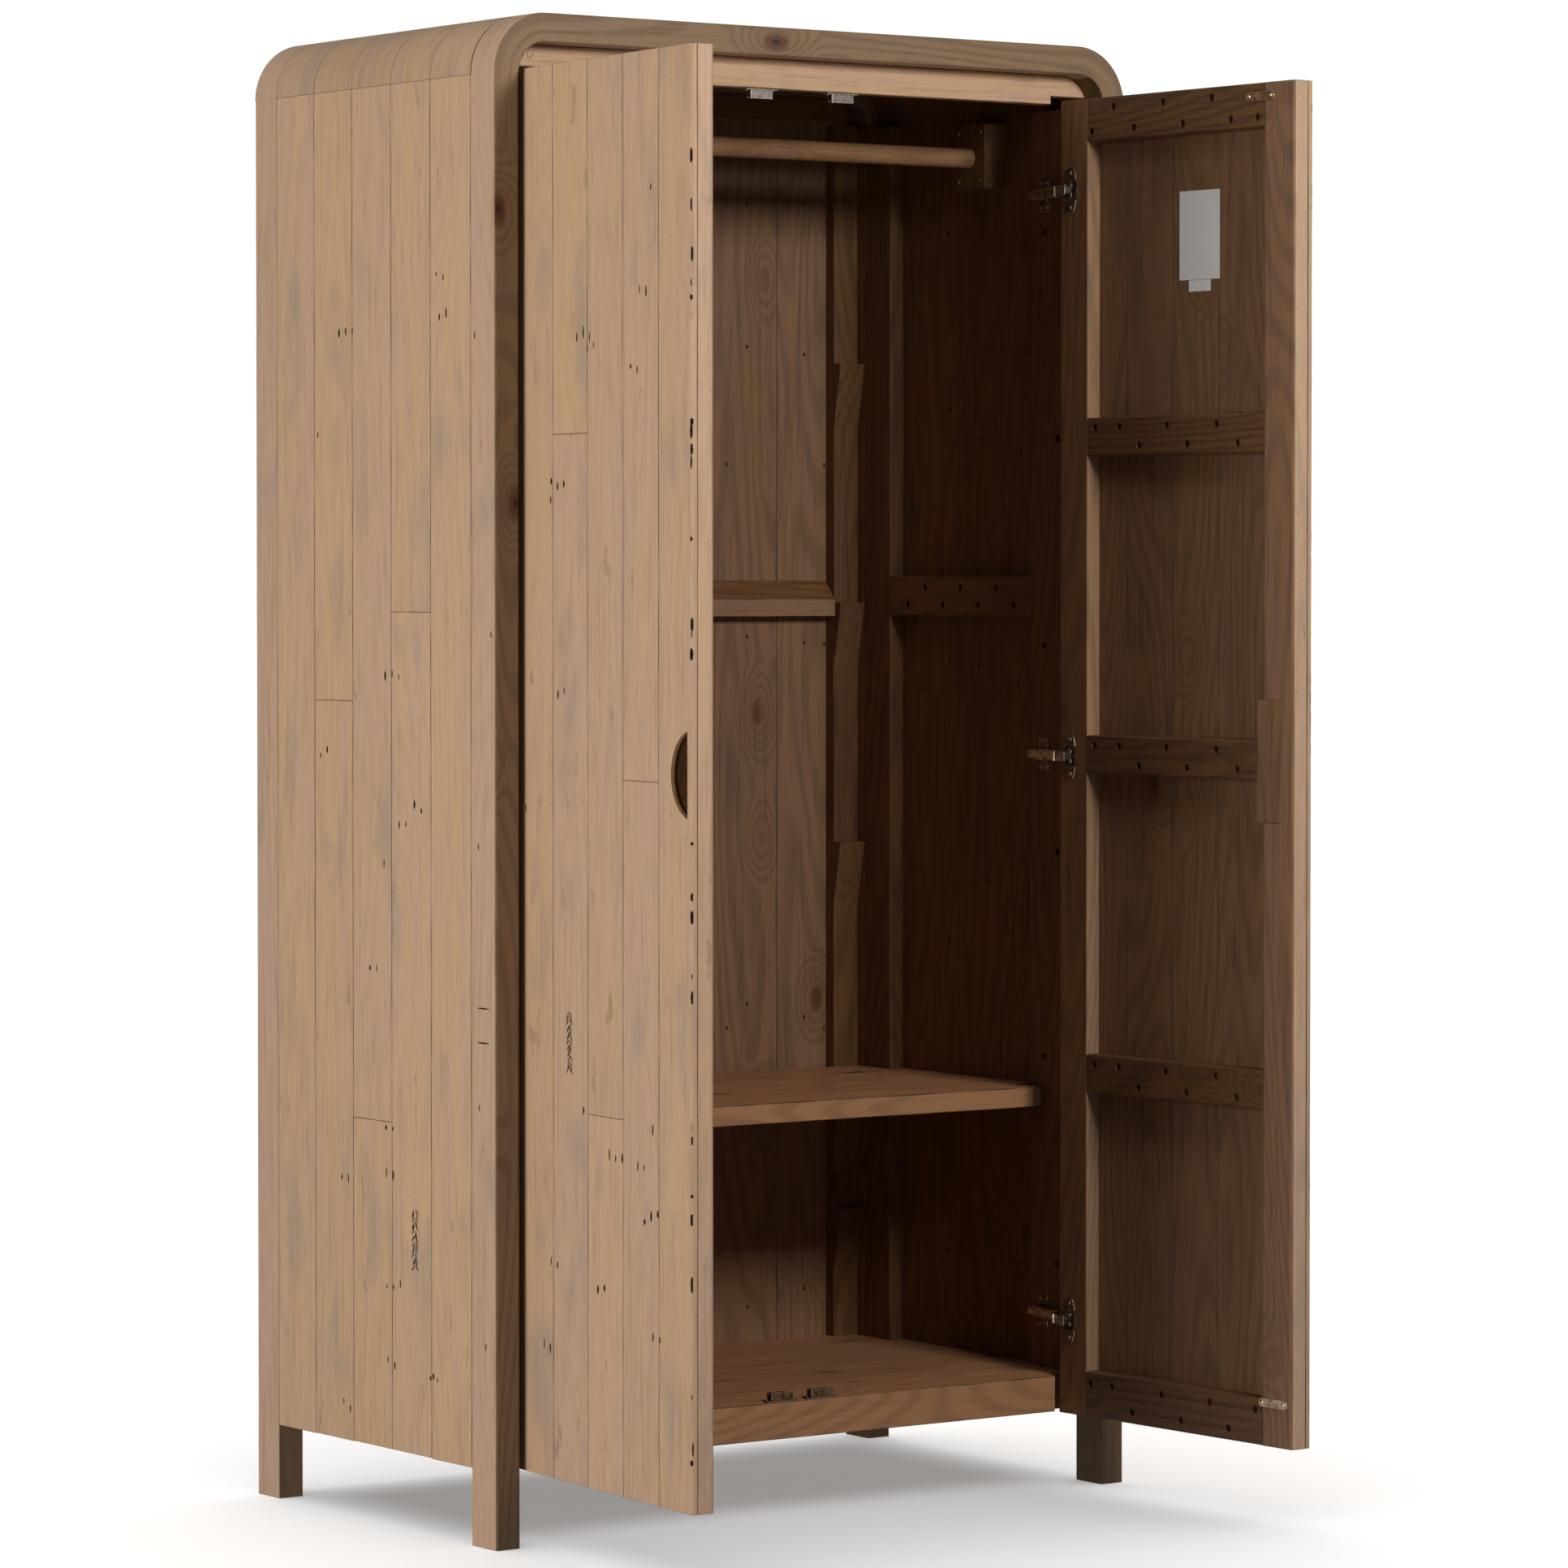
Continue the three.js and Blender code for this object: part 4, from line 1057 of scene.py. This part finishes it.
def ring_end(ring, edge):
    """Point where a ring sector stops."""
    turn = math.radians(ring["to"])
    return PIN.x + ring[edge] * math.cos(turn), PIN.y + ring[edge] * math.sin(turn)


def rivet(piece, place, half):
    profile = [(1.6 * MM, -half), (1.9 * MM, 0.4 * MM - half), (1.9 * MM, half - 0.4 * MM), (1.6 * MM, half)]
    piece.lathe(profile, place, Z, 12)


def hinge_cups():
    """Dark cup with two screwed ears, and the bright link that reaches out of it."""
    for side in SIDES:
        for where in HINGE_LEVELS:
            node = f"{side}_door_{where}_hinge_cup"
            body = f"{side}_door"
            back, z = STILE.hi.y, Span(f"left_door_{where}_hinge_cup").mid.z
            cup = Piece(f"{node}_bowl")
            floor, mouth = back - 11.8 * MM, back + 1.5 * MM
            rim = CUP_RADIUS
            bowl = [(rim - 1.6 * MM, floor), (rim - 0.4 * MM, floor + 1.2 * MM),
                    (rim - 0.3 * MM, mouth - 0.3 * MM), (rim - 0.8 * MM, mouth),
                    (rim - 1.9 * MM, mouth - 0.2 * MM), (rim - 2.2 * MM, floor + 3 * MM),
                    (rim - 3.6 * MM, floor + 1.6 * MM)]
            cup.lathe(bowl, (PIN.x, 0, z), Y, 36)
            for up in (-1, 1):
                ear = [(z + up * a * MM, PIN.x + b * MM) for a, b in EAR]
                cup.prism(ear, Y, back + 0.1 * MM, back + 1.4 * MM, bevel=0.5 * MM)
                screw(cup, (PIN.x + 2.5 * MM, back + 1.4 * MM, z + up * 24 * MM), Y, 1, 3.4 * MM)
            cup.build(DOOR[side], SMOKED, body, "hinge_steel", (node,))

            link = Piece(f"{node}_link")
            neck = [(z - 4.5 * MM, PIN.x - 3.5 * MM), (z + 4.5 * MM, PIN.x - 3.5 * MM),
                    (z + 4.5 * MM, PIN.x + 3.5 * MM), (z - 4.5 * MM, PIN.x + 3.5 * MM)]
            link.prism(neck, Y, floor + 2 * MM, PIN.y + LINK["near"] + 0.4 * MM, bevel=0.7 * MM)
            link.prism(ring_outline(LINK), Z, z - 6.6 * MM, z + 6.6 * MM, bevel=0.5 * MM)
            rivet(link, (PIN.x, PIN.y + 17 * MM, z), 9 * MM)
            link.build(DOOR[side], STEEL, body, "hinge_steel")


# ---------- doors ----------
FACE = Span("left_door_face")
STILE = Span("left_door_hinge_stile")
FREE = Span("left_door_free_stile")


def pull_outline():
    """Half-moon, as (z, x) pairs for a prism along Y."""
    half = PULL["tall"] / 2
    radius = (half ** 2 + PULL["wide"] ** 2) / (2 * PULL["wide"])
    straight = FACE.lo.x + PULL["straight"]
    middle = straight - PULL["wide"] + radius
    turn = math.atan2(half, straight - middle)
    steps = 28
    points = []
    for i in range(steps + 1):
        t = turn + (2 * math.pi - 2 * turn) * i / steps
        points.append((PULL["level"] + radius * math.sin(t), middle + radius * math.cos(t)))
    return points


def pull_cutter(name, side):
    tool = Piece(name)
    tool.prism(pull_outline(), Y, FACE.lo.y - MM, FACE.lo.y + PULL["depth"], bevel=0, stain=1.0, along=Z)
    return cutter_from(tool, DOOR[side], PINE)


def door_face(side):
    piece = Piece(f"{side}_door_planks")
    edges = [FACE.lo.x, *[FACE.lo.x + s for s in DOOR_SEAMS], FACE.hi.x]
    rows = []
    for k, (low, high) in enumerate(zip(edges, edges[1:])):
        first, last = k == 0, k == len(edges) - 2
        radii = [ARRIS if first else SEAM_ROUND, ARRIS if last else SEAM_ROUND, SEAM_ROUND, SEAM_ROUND]
        lo = Vector((low + (0 if first else PLANK_GAP), FACE.lo.y, FACE.lo.z))
        hi = Vector((high - (0 if last else PLANK_GAP), FACE.hi.y, FACE.hi.z))
        rows.append((lo, hi, radii))
    plank_rows(piece, rows, DOOR_JOINTS, stain=facing(REARWARD, 0.85))
    marks = Piece(f"{side}_door_marks")
    for along, z in nail_groups(marks, FACE.size.x, FACE.lo.z, FACE.hi.z):
        tall = marks.random.uniform(3.5, 9) * MM
        wide = marks.random.uniform(1.3, 2.5) * MM
        nail = lens(z, FACE.lo.x + along, tall, wide)
        marks.prism(nail, Y, FACE.lo.y - MM, FACE.lo.y + NAIL_DEPTH, bevel=0)
    for _ in range(26):
        z = marks.random.uniform(FACE.lo.z + 0.03, FACE.hi.z - 0.03)
        chip = lens(z, FACE.hi.x - marks.random.uniform(0, 1.6) * MM, marks.random.uniform(2, 11) * MM,
                    marks.random.uniform(0.8, 1.6) * MM)
        marks.prism(chip, Y, FACE.lo.y - MM, FACE.lo.y + marks.random.uniform(2.2, 4.2) * MM, bevel=0)
    along, level = DOOR_SCUFF
    middle = FACE.lo.x + along
    scuff(marks, lambda across, z: (level + z, middle + across), Y, FACE.lo.y - MM,
          FACE.lo.y + SCUFF_DEPTH)
    made = wood(piece, DOOR[side], f"{side}_door", "outer_pine", f"{side}_door_face",
                cutter=cutter_from(marks, DOOR[side], HOLE))
    carve(made, pull_cutter(f"{side}_door_pull_cut", side))


def door_frame(side):
    body = f"{side}_door"
    hinge = Piece(f"{side}_door_hinge_stile_board")
    hinge.board(STILE.lo, STILE.hi, radii=[MM, MM, BOARD_ROUND, ARRIS], tone=(0.3, 0.0),
                stain=facing(REARWARD, 0.95, 0.6))
    cups = Piece(f"{side}_door_cup_bores")
    seat_radius = CUP_RADIUS + 0.2 * MM
    for where in HINGE_LEVELS:
        z = Span(f"left_door_{where}_hinge_cup").mid.z
        cups.lathe([(seat_radius, -12.2 * MM), (seat_radius, MM)], (PIN.x, STILE.hi.y, z), Y, 36)
    wood(hinge, DOOR[side], body, "inner_pine", f"{body}_hinge_stile",
         cutter=cutter_from(cups, DOOR[side], HOLE))

    block = Span("left_door_pull_block")
    free = Piece(f"{side}_door_free_stile_board")
    free.board(FREE.lo, FREE.hi, radii=[MM, MM, ARRIS, BOARD_ROUND], tone=(0.9, -0.6),
               stain=facing(REARWARD, 0.8))
    seat = Piece(f"{side}_door_block_seat")
    air = 0.2 * MM
    low, high = block.lo.z - air, block.hi.z + air
    left, right = FREE.lo.x - MM, block.hi.x + air
    seat.prism([(low, left), (high, left), (high, right), (low, right)], Y, FREE.lo.y - MM,
               FREE.hi.y + MM, bevel=0, stain=1.0)
    made = wood(free, DOOR[side], body, "inner_pine", f"{body}_free_stile",
                cutter=cutter_from(seat, DOOR[side], PINE))
    carve(made, pull_cutter(f"{side}_free_stile_pull_cut", side))

    backing = Piece(f"{side}_door_pull_block_board")
    backing.board(block.lo, block.hi, stain=0.85, tone=(-0.5, -0.5))
    wood(backing, DOOR[side], body, "inner_pine", f"{body}_pull_block",
         cutter=pull_cutter(f"{side}_block_pull_cut", side))


def door_rails(side):
    """Rails and battens with two rows of counterbored screws each."""
    body = f"{side}_door"
    plan = [("top_rail", "hi", TOP_RAIL_SCREWS), ("bottom_rail", "lo", BOTTOM_RAIL_SCREWS)]
    plan += [(f"batten_{k}", "mid", BATTEN_SCREWS) for k in (1, 2, 3)]
    heads = Piece(f"{side}_door_screws")
    for name, datum, rows in plan:
        span = Span(f"left_door_{name}")
        piece = Piece(f"{side}_door_{name}_board")
        piece.board(span.lo, span.hi, along=X, radii=[1.0 * MM, 2.2 * MM, 2.2 * MM, 1.0 * MM], stain=1.0,
                    tone=(piece.random.gauss(-6.5, 0.6), piece.random.gauss(0, 0.5)))
        holes = Piece(f"{side}_door_{name}_holes")
        for rise, places in rows:
            for along in places:
                place = (FACE.lo.x + along * MM, span.hi.y, getattr(span, datum).z + rise * MM)
                bore(holes, place, Y)
                screw(heads, (place[0], place[1] - 6.7 * MM, place[2]), Y, 1, 3.8 * MM)
        wood(piece, DOOR[side], body, "inner_pine", f"{body}_{name}",
             cutter=cutter_from(holes, DOOR[side], PINE))
    heads.build(DOOR[side], BRONZE, body, "bronze_catch")


def strike_plates(side):
    """Oval steel plates that meet the magnets, each held by two screws."""
    piece = Piece(f"{side}_door_strike_plates")
    for along, z in ((0.410, FACE.hi.z - 18 * MM), (0.440, FACE.lo.z + 59 * MM)):
        half, radius = 22 * MM, 6 * MM
        outline = []
        for end, start in ((1, -90), (-1, 90)):
            for i in range(9):
                t = math.radians(start + 180 * i / 8)
                across = FACE.lo.x + along + end * half + radius * math.cos(t)
                outline.append((z + radius * math.sin(t), across))
        piece.prism(outline, Y, FREE.hi.y + 0.05 * MM, FREE.hi.y + 1.6 * MM, bevel=0.4 * MM)
        for shift in (-21, 21):
            screw(piece, (FACE.lo.x + along + shift * MM, FREE.hi.y + 1.5 * MM, z), Y, 1, 2.8 * MM)
    piece.build(DOOR[side], NICKEL, f"{side}_door", "hinge_steel")


def label():
    """Two blank paper labels on the inside of the right door."""
    piece = Piece("right_door_blank_label")
    back = FACE.hi.y
    for low, high, bottom, top in LABELS:
        x0, x1 = FACE.lo.x + low, FACE.lo.x + high
        piece.prism([(bottom, x0), (top, x0), (top, x1), (bottom, x1)], Y, back + 0.05 * MM, back + 0.5 * MM,
                    bevel=0.15 * MM)
    piece.build(DOOR["right"], PAPER, "right_door")


# ---------- stage ----------
def stage():
    g = Graph("studio_floor")
    place = g.node("ShaderNodeTexCoord", {}).outputs["Object"]
    cloud = g.noise(g.stretch(place, 0.6, 0.6, 0.6))
    white = g.mix(cloud, (0.93, 0.93, 0.93, 1), (0.95, 0.95, 0.95, 1))
    g.finish(white, 0.9, [(cloud, 0.01, MM)], specular=0.1)
    g.shader.inputs["Emission Color"].default_value = WHITE
    g.shader.inputs["Emission Strength"].default_value = FLOOR_GLOW
    mesh = bpy.data.meshes.new("studio_floor")
    corners = [(-FLOOR_REACH, -FLOOR_REACH, 0), (FLOOR_REACH, -FLOOR_REACH, 0),
               (FLOOR_REACH, FLOOR_REACH, 0), (-FLOOR_REACH, FLOOR_REACH, 0)]
    mesh.from_pydata(corners, [], [(0, 1, 2, 3)])
    mesh.materials.append(g.material)
    floor = bpy.data.objects.new("studio_floor", mesh)
    bpy.context.scene.collection.objects.link(floor)
    floor.visible_diffuse = False
    return floor


def world():
    made = bpy.data.worlds.new("studio")
    bpy.context.scene.world = made
    made.use_nodes = True
    tree = made.node_tree
    background = tree.nodes["Background"]
    background.inputs["Color"].default_value = WHITE
    background.inputs["Strength"].default_value = AMBIENT
    seen = tree.nodes.new("ShaderNodeBackground")
    seen.inputs["Color"].default_value = WHITE
    seen.inputs["Strength"].default_value = BACKDROP
    path = tree.nodes.new("ShaderNodeLightPath")
    blend = tree.nodes.new("ShaderNodeMixShader")
    tree.links.new(path.outputs["Is Camera Ray"], blend.inputs[0])
    tree.links.new(background.outputs[0], blend.inputs[1])
    tree.links.new(seen.outputs[0], blend.inputs[2])
    tree.links.new(blend.outputs[0], tree.nodes["World Output"].inputs[0])


def soft_light(floor, name, place, aim, size, power, color):
    """Softbox for the object; the floor has its own light."""
    data = bpy.data.lights.new(name, "AREA")
    data.shape = "RECTANGLE"
    data.size, data.size_y = size
    data.energy = power
    data.color = color
    lamp = bpy.data.objects.new(name, data)
    lamp.location = place
    lamp.rotation_euler = (Vector(aim) - Vector(place)).to_track_quat("-Z", "Y").to_euler()
    bpy.context.scene.collection.objects.link(lamp)
    link_floor(lamp, floor, "EXCLUDE")


def floor_light(floor):
    """Wide overhead light that leaves a soft contact shadow on a white floor."""
    data = bpy.data.lights.new("floor_light", "SUN")
    data.energy = SUN_POWER
    data.angle = math.radians(SUN_ANGLE)
    lamp = bpy.data.objects.new("floor_light", data)
    lamp.location = (0, 0, 5)
    bpy.context.scene.collection.objects.link(lamp)
    link_floor(lamp, floor, "INCLUDE")


def link_floor(lamp, floor, state):
    receivers = bpy.data.collections.new(f"{lamp.name}_receivers")
    receivers.objects.link(floor)
    receivers.collection_objects[0].light_linking.link_state = state
    lamp.light_linking.receiver_collection = receivers


def camera():
    data = bpy.data.cameras.new("camera")
    data.lens = CAMERA_LENS
    data.sensor_width = 36
    data.shift_y = CAMERA_SHIFT_Y
    made = bpy.data.objects.new("camera", data)
    made.location = CAMERA_PLACE
    made.rotation_euler = (math.radians(90 + CAMERA_PITCH), 0, math.radians(-CAMERA_YAW))
    bpy.context.scene.collection.objects.link(made)
    bpy.context.scene.camera = made


legs()
arch("front_top_frame")
arch("back_top_frame")
corner_mouldings()
side_walls()
top_panel()
inner_frames()
header()
flat_boards()
toothed_strips()
hanging_rod()
back_wall()
catches()
hinge_arms()
hinge_cups()
for door_side in SIDES:
    door_face(door_side)
    door_frame(door_side)
    door_rails(door_side)
    strike_plates(door_side)
label()

studio_floor = stage()
floor_light(studio_floor)
world()
for light in LIGHTS:
    soft_light(studio_floor, *light)
camera()
bpy.context.scene.view_settings.view_transform = "Standard"
